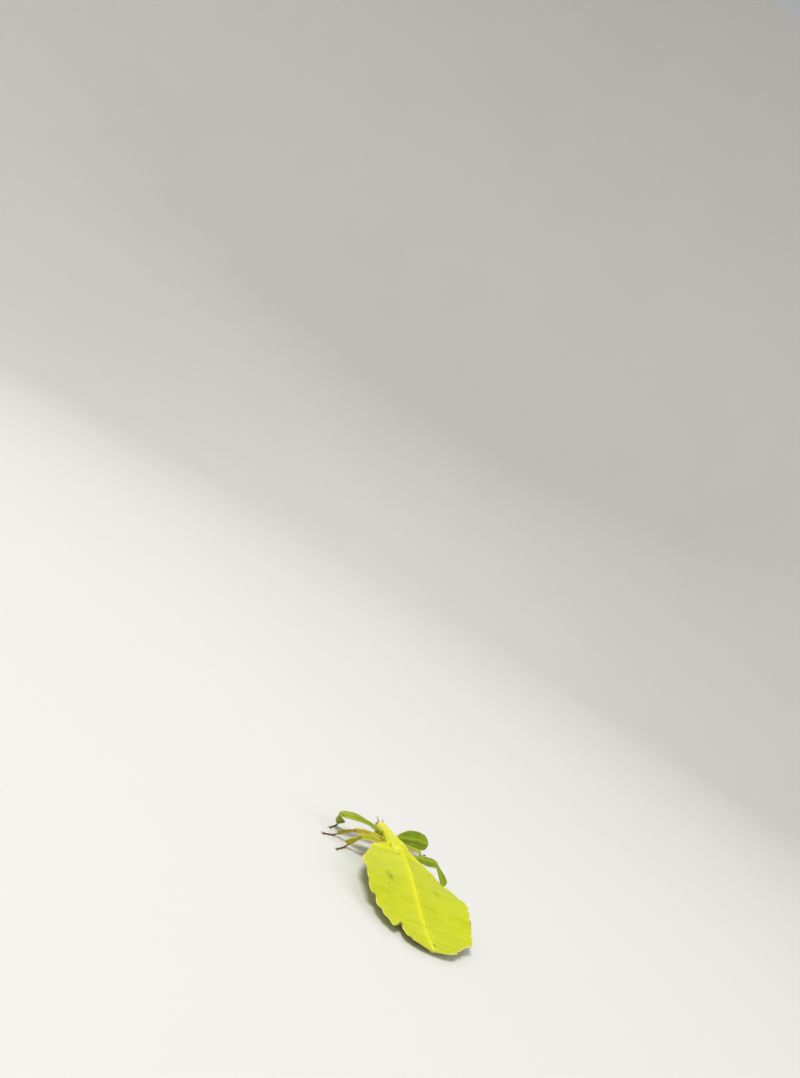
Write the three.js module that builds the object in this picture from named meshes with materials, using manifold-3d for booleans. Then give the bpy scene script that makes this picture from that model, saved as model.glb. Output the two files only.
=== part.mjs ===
// A giant leaf insect, female nymph before her last moult, life size. She stands low on six
// feet with the tip of her broad, leaf-shaped abdomen resting on the ground.
// Millimetres, +Y towards the head, +X to her right, +Z up, the ground at z = 0.
import * as THREE from "three";
import { mergeVertices } from "three/addons/utils/BufferGeometryUtils.js";
import Module from "manifold-3d";

const wasm = await Module();
wasm.setup();

// ---- driving dimensions
const BODY_LENGTH = 85; // front of the head to the tip of the abdomen, along the back
const GAP = 0.16; // clearance left between neighbouring plates
const LEAF_EDGE = 0.56; // thickness of the leaf at its margin
const LEG_EDGE = 0.52; // thickness of a leg's lobes at their margin

// The line of the back, as stops of [distance from the front of the head, place].
const BACK_Y = [[0, 51.5], [11.5, 40.4], [25.5, 26.5], [40.4, 11.6], [55.3, -2.9], [70.2, -17.6], [85, -32.3]];
const BACK_Z = [[0, 4.3], [11.5, 8.1], [25.5, 9.8], [40.4, 9.1], [55.3, 6.6], [70.2, 3.8], [85, 2.4]];

// Stations along the back where one plate ends and the next begins.
const STATION = { neck: 6.45, prothorax: 11.4, mesothorax: 20.6, waist: 25.6 };
const ABDOMEN_ENDS = [29.5, 38, 49.5, 61, 72, 79, 82.4, BODY_LENGTH]; // segments 2 to 8, then 9 and 10

// Half widths of the body and of the abdomen's leaf.
const THORAX_WIDTH = [[6.3, 2.5], [8.2, 3.05], [11.3, 2.3], [12.5, 2.7], [16, 3.2], [20.4, 4.6], [23, 5.3], [25.6, 5.0]];
const THORAX_SAG = [[6.3, 0.4], [11, 0.9], [16, 1.2], [25.6, 1.4]]; // depth of its axis below the back
const THORAX_TOP = [[6.3, 1.5], [9, 1.6], [11.3, 1.2], [13, 1.5], [17, 1.75], [21, 1.7], [25.6, 1.4]];
const THORAX_BELLY = [[6.3, 1.5], [11, 1.8], [16, 2.3], [21, 2.5], [25.6, 2.2]];
const LEAF_WIDTH = [
  [25.6, 8.6], [26.8, 11.8], [29.1, 14.4], [33, 17.0], [36.2, 18.9], [44.5, 23.2], [51, 24.8], [55.3, 25.1],
  [60.6, 24.6], [61.4, 24.0], [66, 23.9], [71.5, 22.7], [72.4, 21.6], [75.4, 19.2], [78.6, 14.6], [79.4, 13.2],
  [82.2, 11.6], [82.8, 10.6], [84.2, 6.8], [85, 2.4],
];
// Angle in degrees by which each half of the leaf drops (or rises, if negative) from the back.
const LEAF_DROOP = [[25.6, 15], [40, 8], [52, -2.5], [58, -4], [70, -2], [85, -1]];
const LEAF_SAG = [[25.6, 1.7], [40, 1.5], [60, 1.3], [78, 1.05], [85, 0.7]]; // depth of its middle below the back
const RIDGE_WIDTH = 2.1; // half width of the raised midrib
const RIDGE_HEIGHT = [[25.6, 1.3], [40, 0.95], [60, 0.8], [78, 0.6], [85, 0.3]];
const KEEL_WIDTH = [[25.6, 5.6], [40, 5.8], [60, 5.0], [75, 3.6], [85, 2.2]];
const KEEL_DEPTH = [[25.6, 2.7], [40, 3.0], [60, 2.4], [72, 1.9], [80, 1.7], [85, 1.5]];

const COLOUR = {
  leaf: [0.6, 0.72, 0.09],
  thorax: [0.7, 0.78, 0.14],
  leg: [0.3, 0.5, 0.05],
  foot: [0.36, 0.17, 0.07],
  feeler: [0.55, 0.25, 0.1],
  eye: [0.5, 0.45, 0.2],
};

// Smooth curve through stops of [x, value], with no overshoot between them.
function along(stops, x) {
  const last = stops.length - 1;
  const at = THREE.MathUtils.clamp(x, stops[0][0], stops[last][0]);
  let i = 0;
  while (i < last - 1 && at > stops[i + 1][0]) i++;
  const slope = (k) => (stops[k + 1][1] - stops[k][1]) / (stops[k + 1][0] - stops[k][0]);
  const tangent = (k) => {
    if (k === 0) return slope(0);
    if (k === last) return slope(last - 1);
    const before = slope(k - 1);
    const after = slope(k);
    return before * after <= 0 ? 0 : (2 * before * after) / (before + after);
  };
  const [x0, v0] = stops[i];
  const [x1, v1] = stops[i + 1];
  const h = x1 - x0;
  const t = (at - x0) / h;
  const rise = t * t * (3 - 2 * t);
  return v0 * (1 - rise) + v1 * rise + h * t * (1 - t) * ((1 - t) * tangent(i) - t * tangent(i + 1));
}

// The frame of the back at a station: its place, the direction to the tail, and up out of the back.
function backFrame(s) {
  const step = 0.05;
  const point = (d) => new THREE.Vector3(0, along(BACK_Y, d), along(BACK_Z, d));
  const low = Math.max(0, s - step);
  const high = Math.min(BODY_LENGTH, s + step);
  const rear = point(high).sub(point(low)).normalize();
  const up = new THREE.Vector3(1, 0, 0).cross(rear).negate();
  return { place: point(s), rear, up };
}

// A closed body made by moving every point of a capped cylinder: place(t, theta, r) says where.
// theta is 0 on top and a quarter turn at the right-hand side, and r is 0 only at the caps' middles.
function warp(sides, steps, place) {
  const geometry = new THREE.CylinderGeometry(1, 1, 1, sides, steps);
  geometry.deleteAttribute("normal");
  geometry.deleteAttribute("uv");
  const merged = mergeVertices(geometry, 1e-5);
  const position = merged.getAttribute("position");
  for (let i = 0; i < position.count; i++) {
    const x = position.getX(i);
    const z = position.getZ(i);
    const moved = place(position.getY(i) + 0.5, Math.atan2(x, z), Math.hypot(x, z));
    position.setXYZ(i, moved.x, moved.y, moved.z);
  }
  return facingOut(merged);
}

// The same geometry with its faces turned outwards.
function facingOut(geometry) {
  const p = geometry.getAttribute("position");
  const index = geometry.index.array;
  const [a, b, c] = [new THREE.Vector3(), new THREE.Vector3(), new THREE.Vector3()];
  let volume = 0;
  for (let i = 0; i < index.length; i += 3) {
    a.fromBufferAttribute(p, index[i]);
    b.fromBufferAttribute(p, index[i + 1]);
    c.fromBufferAttribute(p, index[i + 2]);
    volume += a.dot(b.cross(c));
  }
  if (volume < 0)
    for (let i = 0; i < index.length; i += 3) [index[i + 1], index[i + 2]] = [index[i + 2], index[i + 1]];
  return geometry;
}

// On a plate of this many sides, the share of the way from the middle (0) to an edge (1 or -1).
function sideways(sides, theta, r) {
  const widest = ((sides / 2 - 1) / 2) * ((2 * Math.PI) / sides);
  const folded = Math.abs(theta) > Math.PI / 2 ? Math.sign(theta) * (Math.PI - Math.abs(theta)) : theta;
  return r * THREE.MathUtils.clamp(folded / widest, -1, 1);
}

const isTop = (theta) => Math.abs(theta) < Math.PI / 2;
const bump = (x) => (Math.abs(x) < 1 ? (1 - x * x) ** 2 : 0);

// ---- solids joined and cut
function sewn(geometry) {
  const bare = geometry.clone();
  bare.deleteAttribute("normal");
  bare.deleteAttribute("uv");
  return mergeVertices(bare, 1e-4);
}

function solid(geometry) {
  const merged = sewn(geometry);
  return new wasm.Manifold(
    new wasm.Mesh({
      numProp: 3,
      vertProperties: merged.getAttribute("position").array,
      triVerts: new Uint32Array(merged.index.array),
    }),
  );
}

function geometryOf(manifold) {
  const made = manifold.getMesh();
  const geometry = new THREE.BufferGeometry();
  geometry.setAttribute("position", new THREE.BufferAttribute(new Float32Array(made.vertProperties), 3));
  geometry.setIndex(new THREE.BufferAttribute(new Uint32Array(made.triVerts), 1));
  return geometry;
}

const joined = (...geometries) => geometryOf(geometries.map(solid).reduce((a, b) => a.add(b)));

// A geometry cut back so that it stands clear of its neighbours.
const trimmed = (geometry, ...neighbours) =>
  geometryOf(neighbours.map((n) => solid(grown(n))).reduce((a, b) => a.subtract(b), solid(geometry)));

// The geometry with each point pushed out by the gap along its own normal.
function grown(geometry) {
  const out = sewn(geometry);
  out.computeVertexNormals();
  const p = out.getAttribute("position");
  const n = out.getAttribute("normal");
  for (let i = 0; i < p.count; i++)
    p.setXYZ(i, p.getX(i) + n.getX(i) * GAP, p.getY(i) + n.getY(i) * GAP, p.getZ(i) + n.getZ(i) * GAP);
  return out;
}

function ball(centre, radii, width = 12, height = 8) {
  return new THREE.SphereGeometry(1, width, height).scale(...radii).translate(...centre);
}

// ---- the body
const insect = new THREE.Group();

function addPart(name, colour, geometry) {
  const [r, g, b] = COLOUR[colour];
  const material = new THREE.MeshStandardMaterial({ color: new THREE.Color(r, g, b), roughness: 0.5, metalness: 0 });
  const mesh = new THREE.Mesh(geometry, material);
  mesh.name = name;
  insect.add(mesh);
}

// A point of the leaf: across is -1 to 1 from margin to margin, and lift is the height out of its middle layer.
function leafPoint(s, across, lift) {
  const { place, up } = backFrame(s);
  const out = across * along(LEAF_WIDTH, s);
  const droop = THREE.MathUtils.degToRad(along(LEAF_DROOP, s));
  const soft = Math.hypot(out, 1.2) - 1.2; // keeps the fold over the back round
  return place
    .clone()
    .add(new THREE.Vector3(out * Math.cos(droop), 0, 0))
    .addScaledVector(up, lift - soft * Math.sin(droop) - along(LEAF_SAG, s) * (1 - across ** 2));
}

function leafTop(s, out) {
  return LEAF_EDGE / 2 + 0.35 * bump(out / 9) + along(RIDGE_HEIGHT, s) * bump(out / (RIDGE_WIDTH * 1.6));
}

function leafBelly(s, out) {
  return LEAF_EDGE / 2 + along(KEEL_DEPTH, s) * bump(out / (along(KEEL_WIDTH, s) * 1.25));
}

const onGround = (point) => new THREE.Vector3(point.x, point.y, Math.max(point.z, 0));

function abdomenSegment(from, to) {
  const sides = 30;
  const steps = Math.max(2, Math.round((to - from) / 2.7));
  return warp(sides, steps, (t, theta, r) => {
    const s = from + (to - from) * t;
    const linear = sideways(sides, theta, r);
    const across = Math.sign(linear) * Math.abs(linear) ** 1.25;
    const out = across * along(LEAF_WIDTH, s);
    const lift = r === 0 ? 0 : isTop(theta) ? leafTop(s, out) : -leafBelly(s, out);
    return onGround(leafPoint(s, across, lift));
  });
}

function addAbdomen() {
  let from = STATION.waist;
  ABDOMEN_ENDS.forEach((to, i) => {
    const name = i === ABDOMEN_ENDS.length - 1 ? "abdomen_tip" : `abdomen_segment_${i + 2}`;
    addPart(name, "leaf", abdomenSegment(from + GAP / 2, to === BODY_LENGTH ? to : to - GAP / 2));
    from = to;
  });
}

// A box-like round section of the thorax between two stations.
function thoraxPart(from, to, steps) {
  return warp(20, steps, (t, theta, r) => {
    const s = from + (to - from) * t;
    const { place, up } = backFrame(s);
    const across = Math.sin(theta);
    const high = Math.cos(theta);
    const flat = (v) => Math.sign(v) * Math.abs(v) ** 0.8;
    const depth = high > 0 ? along(THORAX_TOP, s) : along(THORAX_BELLY, s);
    return place
      .clone()
      .add(new THREE.Vector3(r * flat(across) * along(THORAX_WIDTH, s), 0, 0))
      .addScaledVector(up, r * flat(high) * depth - along(THORAX_SAG, s));
  });
}

function addThorax() {
  addPart("prothorax", "thorax", thoraxPart(STATION.neck + GAP, STATION.prothorax - GAP / 2, 5));
  addPart("mesothorax", "thorax", thoraxPart(STATION.prothorax + GAP / 2, STATION.mesothorax - GAP / 2, 6));
  addPart("metathorax", "thorax", thoraxPart(STATION.mesothorax + GAP / 2, STATION.waist - GAP / 2, 4));
}

// The bud of a wing: a thin tongue that lies back over the hind part of the thorax.
function wingPad(side) {
  const sides = 14;
  const [from, to] = [20.4, 28.2];
  return warp(sides, 6, (t, theta, r) => {
    const s = from + (to - from) * t;
    const { place, up } = backFrame(s);
    const middle = side * (2.9 - 0.9 * t);
    const half = 2.0 * Math.sqrt(Math.max(0.03, 1 - t ** 2.2));
    const x = middle + sideways(sides, theta, r) * half;
    const rest = along([[20, 0.75], [24, 0.6], [25.6, 0.45], [28.5, 0.45]], s) - 0.022 * x * x;
    const lift = rest + (r === 0 ? 0.27 : isTop(theta) ? 0.54 : 0);
    return place.clone().add(new THREE.Vector3(x, 0, 0)).addScaledVector(up, lift);
  });
}

// ---- the head
const HEAD = { station: 3.2, length: 3.25, width: 2.75, height: 2.3 };
const EYE = { out: 2.35, ahead: 1.15, above: 0.75, radius: 0.98 };

function headPoint(side, ahead, above) {
  const { place, rear, up } = backFrame(HEAD.station);
  return place.clone().addScaledVector(rear, -ahead).addScaledVector(up, above).add(new THREE.Vector3(side, 0, 0));
}

function eyeBall(side, radius) {
  const centre = headPoint(side * EYE.out, EYE.ahead, EYE.above);
  return ball(centre.toArray(), [radius * 0.85, radius, radius], 10, 7);
}

function addHead() {
  const capsule = warp(16, 8, (t, theta, r) => {
    const a = (t - 0.5) * Math.PI;
    const ring = Math.cos(a) * r;
    const width = HEAD.width * (1 - 0.08 * Math.sin(a));
    return headPoint(Math.sin(theta) * ring * width, -Math.sin(a) * HEAD.length, Math.cos(theta) * ring * HEAD.height);
  });
  addPart("head", "thorax", trimmed(capsule, eyeBall(-1, EYE.radius), eyeBall(1, EYE.radius)));
  addPart("eye_left", "eye", eyeBall(-1, EYE.radius));
  addPart("eye_right", "eye", eyeBall(1, EYE.radius));
}

// A round limb along a few points, with a radius at each share of its length.
function tube(points, radii, sides = 8, steps = 12, floor = false) {
  const curve = new THREE.CatmullRomCurve3(points.map((p) => new THREE.Vector3(...p)), false, "centripetal");
  return warp(sides, steps, (t, theta, r) => {
    const at = curve.getPointAt(t);
    const ahead = curve.getTangentAt(t);
    const across = ahead.clone().cross(new THREE.Vector3(0, 0, 1)).normalize();
    const up = across.clone().cross(ahead).normalize();
    const radius = along(radii, t) * r;
    const point = at.addScaledVector(across, Math.sin(theta) * radius).addScaledVector(up, Math.cos(theta) * radius);
    return floor ? onGround(point) : point;
  });
}

// Feelers of a scape, a pedicel and seven short beads, thicker than life at the tip.
const FEELERS = {
  left: [[-1.1, 51.4, 5.8], [-1.5, 52.7, 6.7], [-2.2, 54.4, 7.6]],
  right: [[1.1, 51.4, 5.8], [1.3, 53.0, 6.4], [1.7, 55.1, 7.0]],
};

function addFeelers() {
  const beads = [];
  for (let i = 0; i <= 16; i++) beads.push([i / 16, (i % 2 ? 0.36 : 0.29) + (i < 3 ? 0.09 : 0) - 0.004 * i]);
  for (const [word, points] of Object.entries(FEELERS))
    addPart(`antenna_${word}`, "feeler", tube(points, beads, 6, 16));
}

function addMouth() {
  const lip = ball(headPoint(0, 2.35, -2.15).toArray(), [1.15, 0.85, 0.75], 10, 6);
  addPart("mouthparts", "thorax", trimmed(lip, insect.getObjectByName("head").geometry));
  for (const [side, word] of [[-1, "left"], [1, "right"]]) {
    const path = [[1.75, 1.5, -2.55], [1.95, 2.3, -3.2], [1.6, 3.25, -3.5], [1.1, 3.75, -3.75]];
    const points = path.map(([x, y, z]) => headPoint(side * x, y, z).toArray());
    addPart(`palp_${word}`, "thorax", tube(points, [[0, 0.3], [0.5, 0.33], [1, 0.26]], 8, 6));
  }
}

// ---- the legs
// Each leg: where it leaves the body, the start of the thigh, the knee, the ankle and the toe. Then the
// directions in which the lobes of its thigh and its shin spread, and how far the thigh and the shin bow out
// at their middles. Then the widths of the thigh's outer and inner lobes and of the shin's.
const LEGS = {
  left_fore: {
    root: [-2.9, 40.3, 6.3], hip: [-5.4, 40.4, 6.9], knee: [-26.4, 37.4, 7.6], ankle: [-22.2, 43.7, 1.3],
    toe: [-26.9, 38.6, 0.5], spread: [0, 1, 0.03], shin: [0.81, -0.27, 0.51],
    bow: [0, 1.2, 1.2], shinBow: [-0.7, 0.2, -0.5], outer: 2.6, inner: 2.3, calf: 3.0,
  },
  left_mid: {
    root: [-3.7, 33.6, 6.3], hip: [-6.2, 33.2, 7.0], knee: [-20.6, 28.9, 7.2], ankle: [-24.9, 33.0, 1.3],
    toe: [-32.2, 30.0, 0.5], spread: [0.25, 1, 0.1], shin: [-1, 0.3, -0.4],
    bow: [0.2, 0.7, 0.3], shinBow: [0, 0.2, 0.2], outer: 1.0, inner: 1.4, calf: 1.6,
  },
  left_hind: {
    root: [-4.9, 28.9, 6.4], hip: [-7.2, 28.9, 7.0], knee: [-19.6, 23.9, 7.5], ankle: [-21.4, 26.7, 1.3],
    toe: [-27.6, 20.7, 0.5], spread: [0.25, 1, 0.08], shin: [-1, -0.1, 0.1],
    bow: [0.2, 0.9, 0.4], shinBow: [0.2, 0, 0], outer: 1.3, inner: 1.3, calf: 2.8,
  },
  right_fore: {
    root: [2.9, 40.3, 6.3], hip: [5.4, 41.0, 7.0], knee: [23.4, 46.6, 7.6], ankle: [13.6, 52.2, 1.3],
    toe: [7.4, 56.6, 0.5], spread: [-0.15, 0.42, 0.9], shin: [1, 0.6, -0.5],
    bow: [-0.1, 0.4, 0.5], shinBow: [-0.4, -0.3, 0.2], outer: 3.4, inner: 3.0, calf: 3.0,
  },
  right_mid: {
    root: [3.7, 33.6, 6.3], hip: [6.2, 34.4, 7.0], knee: [17.9, 39.8, 5.5], ankle: [24.0, 46.6, 1.3],
    toe: [28.8, 52.4, 0.5], spread: [0.1, 1, 0.05], shin: [0.6, -0.8, -0.2],
    bow: [0, 0.3, 0.1], shinBow: [0, 0, 0], outer: 1.3, inner: 1.0, calf: 1.5,
  },
  right_hind: {
    root: [4.9, 28.9, 6.4], hip: [7.2, 29.0, 6.1], knee: [22.8, 30.4, 7.2], ankle: [27.6, 24.4, 1.3],
    toe: [33.0, 19.0, 0.5], spread: [0.05, 0.85, 0.5], shin: [1, 0.2, 0.3],
    bow: [0, -0.1, 0.1], shinBow: [0.2, 0, 0], outer: 1.6, inner: 1.6, calf: 2.6, broadens: true,
  },
};

// Share of the full width of each lobe along the thigh and the shin, from their tops to their ends.
const THIGH_OUTER = [[0, 0.1], [0.12, 0.5], [0.35, 0.9], [0.6, 1], [0.85, 0.85], [1, 0.3]];
const THIGH_INNER = [[0, 0.06], [0.15, 0.35], [0.4, 0.8], [0.68, 1], [0.88, 0.8], [1, 0.25]];
// A thigh that broadens towards its knee.
const BROADENING_OUTER = [[0, 0.04], [0.2, 0.12], [0.42, 0.45], [0.65, 0.95], [0.8, 1], [0.92, 0.8], [1, 0.3]];
const BROADENING_INNER = [[0, 0.06], [0.2, 0.3], [0.42, 0.65], [0.68, 1], [0.88, 0.85], [1, 0.25]];
const SHIN_LOBE = [[0, 0.03], [0.25, 0.35], [0.6, 0.85], [0.8, 1], [0.93, 0.7], [1, 0.2]];
const SHAFT = { thigh: 0.85, shin: 0.62 };

// A flat-lobed length of leg from one point to another, with a round shaft down its middle.
function lobedLeg({ from, to, spread, outer, inner, outerShare, innerShare, shaft, bow }) {
  const sides = 14;
  const start = new THREE.Vector3(...from);
  const reach = new THREE.Vector3(...to).sub(start);
  const ahead = reach.clone().normalize();
  const wide = new THREE.Vector3(...spread);
  const bowed = new THREE.Vector3(...bow);
  wide.addScaledVector(ahead, -wide.dot(ahead)).normalize();
  const face = ahead.clone().cross(wide);
  return warp(sides, 7, (t, theta, r) => {
    const across = sideways(sides, theta, r);
    const width = shaft * 0.9 + (across > 0 ? outer * along(outerShare, t) : inner * along(innerShare, t));
    const out = across * width;
    const half = LEG_EDGE / 2 + (shaft - LEG_EDGE / 2) * bump(out / (shaft * 1.5));
    const lift = r === 0 ? 0 : isTop(theta) ? half : -half;
    return start
      .clone()
      .addScaledVector(reach, t)
      .addScaledVector(bowed, Math.sin(Math.PI * t))
      .addScaledVector(wide, out)
      .addScaledVector(face, lift);
  });
}

// Moves a point towards another by a distance.
function towards(from, to, distance) {
  const start = new THREE.Vector3(...from);
  const way = new THREE.Vector3(...to).sub(start);
  return start.addScaledVector(way.normalize(), distance).toArray();
}

// Five foot beads on the ground, with a pair of claws.
function foot(ankle, toe) {
  const start = new THREE.Vector3(...ankle);
  const end = new THREE.Vector3(...toe);
  const onto = start.clone().lerp(end, 0.22).setZ(0.5);
  const radii = [];
  for (let i = 0; i <= 10; i++) radii.push([i / 10, i % 2 ? 0.56 : 0.44]);
  const pads = tube([start.toArray(), onto.toArray(), end.toArray()], radii, 7, 10, true);
  const ahead = end.clone().sub(onto).normalize();
  const across = new THREE.Vector3(-ahead.y, ahead.x, 0);
  const claws = [-1, 1].map((side) => {
    const root = end.clone().addScaledVector(ahead, -0.35);
    const mid = root.clone().addScaledVector(ahead, 0.7).addScaledVector(across, side * 0.5).setZ(0.62);
    const tip = mid.clone().addScaledVector(ahead, 0.55).addScaledVector(across, side * 0.1).setZ(0.32);
    return tube([root.toArray(), mid.toArray(), tip.toArray()], [[0, 0.32], [1, 0.25]], 5, 3, true);
  });
  return joined(pads, ...claws);
}

function addLeg(word, leg) {
  const reach = new THREE.Vector3(...leg.hip).distanceTo(new THREE.Vector3(...leg.root));
  const socket = [leg.root, towards(leg.root, leg.hip, reach / 2), towards(leg.hip, leg.root, 2.5 * GAP)];
  const blocks = ["prothorax", "mesothorax", "metathorax"].map((n) => insect.getObjectByName(n).geometry);
  addPart(`${word}_coxa`, "thorax", trimmed(tube(socket, [[0, 1.15], [0.6, 1.25], [1, 0.85]], 10, 4), ...blocks));
  const thigh = lobedLeg({
    from: towards(leg.hip, leg.knee, GAP), to: leg.knee, spread: leg.spread, outer: leg.outer, inner: leg.inner,
    outerShare: leg.broadens ? BROADENING_OUTER : THIGH_OUTER,
    innerShare: leg.broadens ? BROADENING_INNER : THIGH_INNER, shaft: SHAFT.thigh, bow: leg.bow,
  });
  addPart(`${word}_femur`, "leg", thigh);
  const top = towards(leg.knee, leg.ankle, 1.5);
  const shin = lobedLeg({
    from: top, to: leg.ankle, spread: leg.shin, outer: leg.calf, inner: 0.2,
    outerShare: SHIN_LOBE, innerShare: SHIN_LOBE, shaft: SHAFT.shin, bow: leg.shinBow,
  });
  addPart(`${word}_tibia`, "leg", shin);
  const outward = new THREE.Vector3(...leg.toe).sub(new THREE.Vector3(...leg.ankle)).normalize();
  const ankle = new THREE.Vector3(...leg.ankle).addScaledVector(outward, 0.95).setZ(0.58);
  addPart(`${word}_tarsus`, "foot", foot(ankle.toArray(), leg.toe));
}

addHead();
addFeelers();
addMouth();
addThorax();
addPart("wing_pad_left", "thorax", wingPad(-1));
addPart("wing_pad_right", "thorax", wingPad(1));
addAbdomen();
Object.entries(LEGS).forEach(([word, leg]) => addLeg(word, leg));

// The middle of the outline goes over the origin.
const outline = new THREE.Box3().setFromObject(insect);
const middle = outline.getCenter(new THREE.Vector3());
insect.position.set(-middle.x, -middle.y, -outline.min.z);

export default insect;
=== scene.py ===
import math

import bpy
import numpy as np
from bpy.props import FloatProperty, FloatVectorProperty, IntProperty, PointerProperty
from mathutils import Matrix, Vector


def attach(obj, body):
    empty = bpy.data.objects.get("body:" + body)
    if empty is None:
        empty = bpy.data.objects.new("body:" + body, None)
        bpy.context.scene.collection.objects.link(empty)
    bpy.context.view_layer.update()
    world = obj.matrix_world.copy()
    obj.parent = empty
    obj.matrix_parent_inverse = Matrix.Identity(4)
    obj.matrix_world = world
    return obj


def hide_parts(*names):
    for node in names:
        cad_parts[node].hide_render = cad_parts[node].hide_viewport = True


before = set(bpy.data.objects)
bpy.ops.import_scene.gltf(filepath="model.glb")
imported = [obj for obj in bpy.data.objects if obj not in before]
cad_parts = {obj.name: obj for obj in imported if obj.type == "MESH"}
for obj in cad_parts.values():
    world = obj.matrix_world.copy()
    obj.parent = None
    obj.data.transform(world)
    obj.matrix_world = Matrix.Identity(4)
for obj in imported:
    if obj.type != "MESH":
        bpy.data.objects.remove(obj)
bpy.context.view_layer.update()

bl_info = {
    "name": "Leaf Insect",
    "version": (1, 0, 0),
    "blender": (4, 5, 0),
    "location": "View3D > Sidebar > Leaf Insect",
    "description": "Builds a life-size leaf insect nymph around its packed frame",
    "category": "Add Mesh",
}

# ---------------------------------------------------------------------------
# The insect's measurements. Everything here is in millimetres, in the frame of
# the back: stations run from the front of the head (0) to the tail tip (85).

MM = 0.001
PLACE = np.array([-0.425, -12.719, 0.0])  # from the drawing's origin to the frame's
BODY_LENGTH = 85.0
LEAF_BEGINS = (24.6, 26.4)  # stations between which the round trunk becomes the flat leaf
SECTION_POWER = 0.86  # squareness of the trunk's section; 1 is an ellipse
QUARTER_TURN = math.pi / 2

# The line of the back, and where the abdomen's segments end.
BACK_Y = [[0, 51.5], [11.5, 40.4], [25.5, 26.5], [40.4, 11.6], [55.3, -2.9], [70.2, -17.6], [85, -32.3]]
BACK_Z = [[0, 4.3], [11.5, 8.1], [25.5, 9.8], [40.4, 9.1], [55.3, 6.6], [70.2, 3.8], [85, 2.4]]

SEGMENT_ENDS = [29.5, 38.0, 49.5, 61.0, 72.0, 79.0, 82.4]

# Half width of the whole body: head, neck, thorax and the leaf of the abdomen.
BODY_WIDTH = [
    [-0.05, 0.05], [0.05, 0.8], [0.4, 1.6], [1.0, 2.25], [2.0, 2.74], [3.0, 2.86], [4.0, 2.8], [5.0, 2.5],
    [5.8, 2.2], [6.35, 2.1], [6.75, 2.45], [7.3, 2.75], [8.4, 3.05], [9.8, 2.9], [10.8, 2.6], [11.35, 2.3],
    [11.8, 2.6], [12.8, 3.0], [16, 3.65], [18.5, 4.45], [20.4, 5.05], [23, 5.6], [24.8, 5.8], [25.3, 6.6],
    [25.7, 8.8], [26.8, 11.8], [29.1, 14.4], [33, 17.0], [36.2, 18.9], [44.5, 23.2], [51, 24.8], [55.3, 25.1],
    [60.6, 24.6], [61.4, 24.0], [66, 23.9], [71.5, 22.7], [72.4, 21.6], [75.4, 19.2], [78.6, 14.6],
    [79.4, 13.2], [82.2, 11.6], [82.8, 10.6], [84.2, 6.8], [84.8, 3.6], [85, 0.6],
]
# How far the middle of the back lies below that line.
AXIS_SAG = [
    [0, 0], [4, 0], [6.4, 0.4], [11, 0.9], [16, 1.2], [25, 1.45], [26.5, 1.7], [40, 1.5], [60, 1.3],
    [78, 1.05], [85, 0.7],
]
# The round trunk's height above and below its axis.
TRUNK_TOP = [
    [-0.05, 0.05], [0.05, 0.75], [0.5, 1.35], [1.2, 1.85], [2.2, 2.2], [3.2, 2.3], [4.5, 2.1], [5.6, 1.65],
    [6.3, 1.3], [6.8, 1.5], [9, 1.65], [10.6, 1.4], [11.35, 1.15], [12.2, 1.45], [17, 1.75], [21, 1.75],
    [25.6, 1.5],
]
TRUNK_BELLY = [
    [-0.05, 0.05], [0.05, 0.75], [0.5, 1.35], [1.2, 1.85], [2.2, 2.2], [3.2, 2.3], [4.5, 2.0], [5.6, 1.55],
    [6.4, 1.35], [7.2, 1.6], [11, 1.8], [16, 2.3], [21, 2.5], [25.6, 2.3],
]
# The flat leaf: its slope to the side in degrees, its ridge on top and its keel below.
LEAF_DROOP = [[25.6, 15], [40, 8], [52, -2.5], [58, -4], [70, -2], [85, -1]]
RIDGE_HEIGHT = [[25.6, 1.3], [40, 0.95], [60, 0.8], [78, 0.6], [85, 0.25]]
KEEL_WIDTH = [[25.6, 5.6], [40, 5.8], [60, 5.0], [75, 3.6], [82, 2.6], [85, 1.6]]
KEEL_DEPTH = [[25.6, 2.7], [40, 3.0], [60, 2.4], [72, 1.9], [80, 1.6], [82.6, 1.3], [84, 0.7], [85, 0.2]]

# How far each margin stands out from that half width: the steps at the segments' corners.
LEFT_EDGE = [
    [26, 0.2], [28, 0.5], [30, -0.3], [33, -1.0], [36, -0.85], [41, -0.6], [46, -0.4], [51.4, 0.15],
    [51.9, 0], [52.5, -0.6], [54, -0.6], [56.5, -0.15], [58.2, -0.45], [60.6, -0.1], [61.4, 0.6],
    [63.5, 0.8], [65.3, 0.95], [66, 0.3], [66.6, -0.5], [67.4, -1.6], [67.9, -1.7], [69, -1.45],
    [70.5, -0.85], [71.3, -0.8], [72, -0.2], [73, 0.45], [74, 0.2], [75, 0.85], [75.7, 1.15], [76.4, 0.8],
    [77.3, 0.9], [78.2, 1.5], [78.55, 1.2], [78.7, -2.5], [79, -1.7], [79.5, -0.9], [80.5, -0.5],
    [82.2, -0.1], [82.9, -0.9], [83.4, -0.1], [85, 0],
]
RIGHT_EDGE = [
    [26, 0.3], [28, 0.6], [30, 0.1], [33, 0.4], [36, 0.1], [41, -0.3], [42, 0.4], [46, 0.2], [49, -0.2],
    [50, 0.5], [53, 0.5], [55.5, 0], [57, 0.3], [58.5, 0.05], [60.5, -0.4], [61.5, 0.1], [65, 0.1],
    [67, -0.3], [69, -0.5], [71.5, -0.35], [72.2, 0.2], [73.2, 0.95], [74.3, 0.9], [75.2, 0.1], [76, -0.3],
    [77, -0.5], [78, 0.1], [79, 0.7], [79.9, 1.0], [80.4, 0.5], [80.9, -0.7], [81.6, -0.8], [82.1, 0.1],
    [82.7, -0.6], [83.6, -0.1], [85, 0],
]

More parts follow.
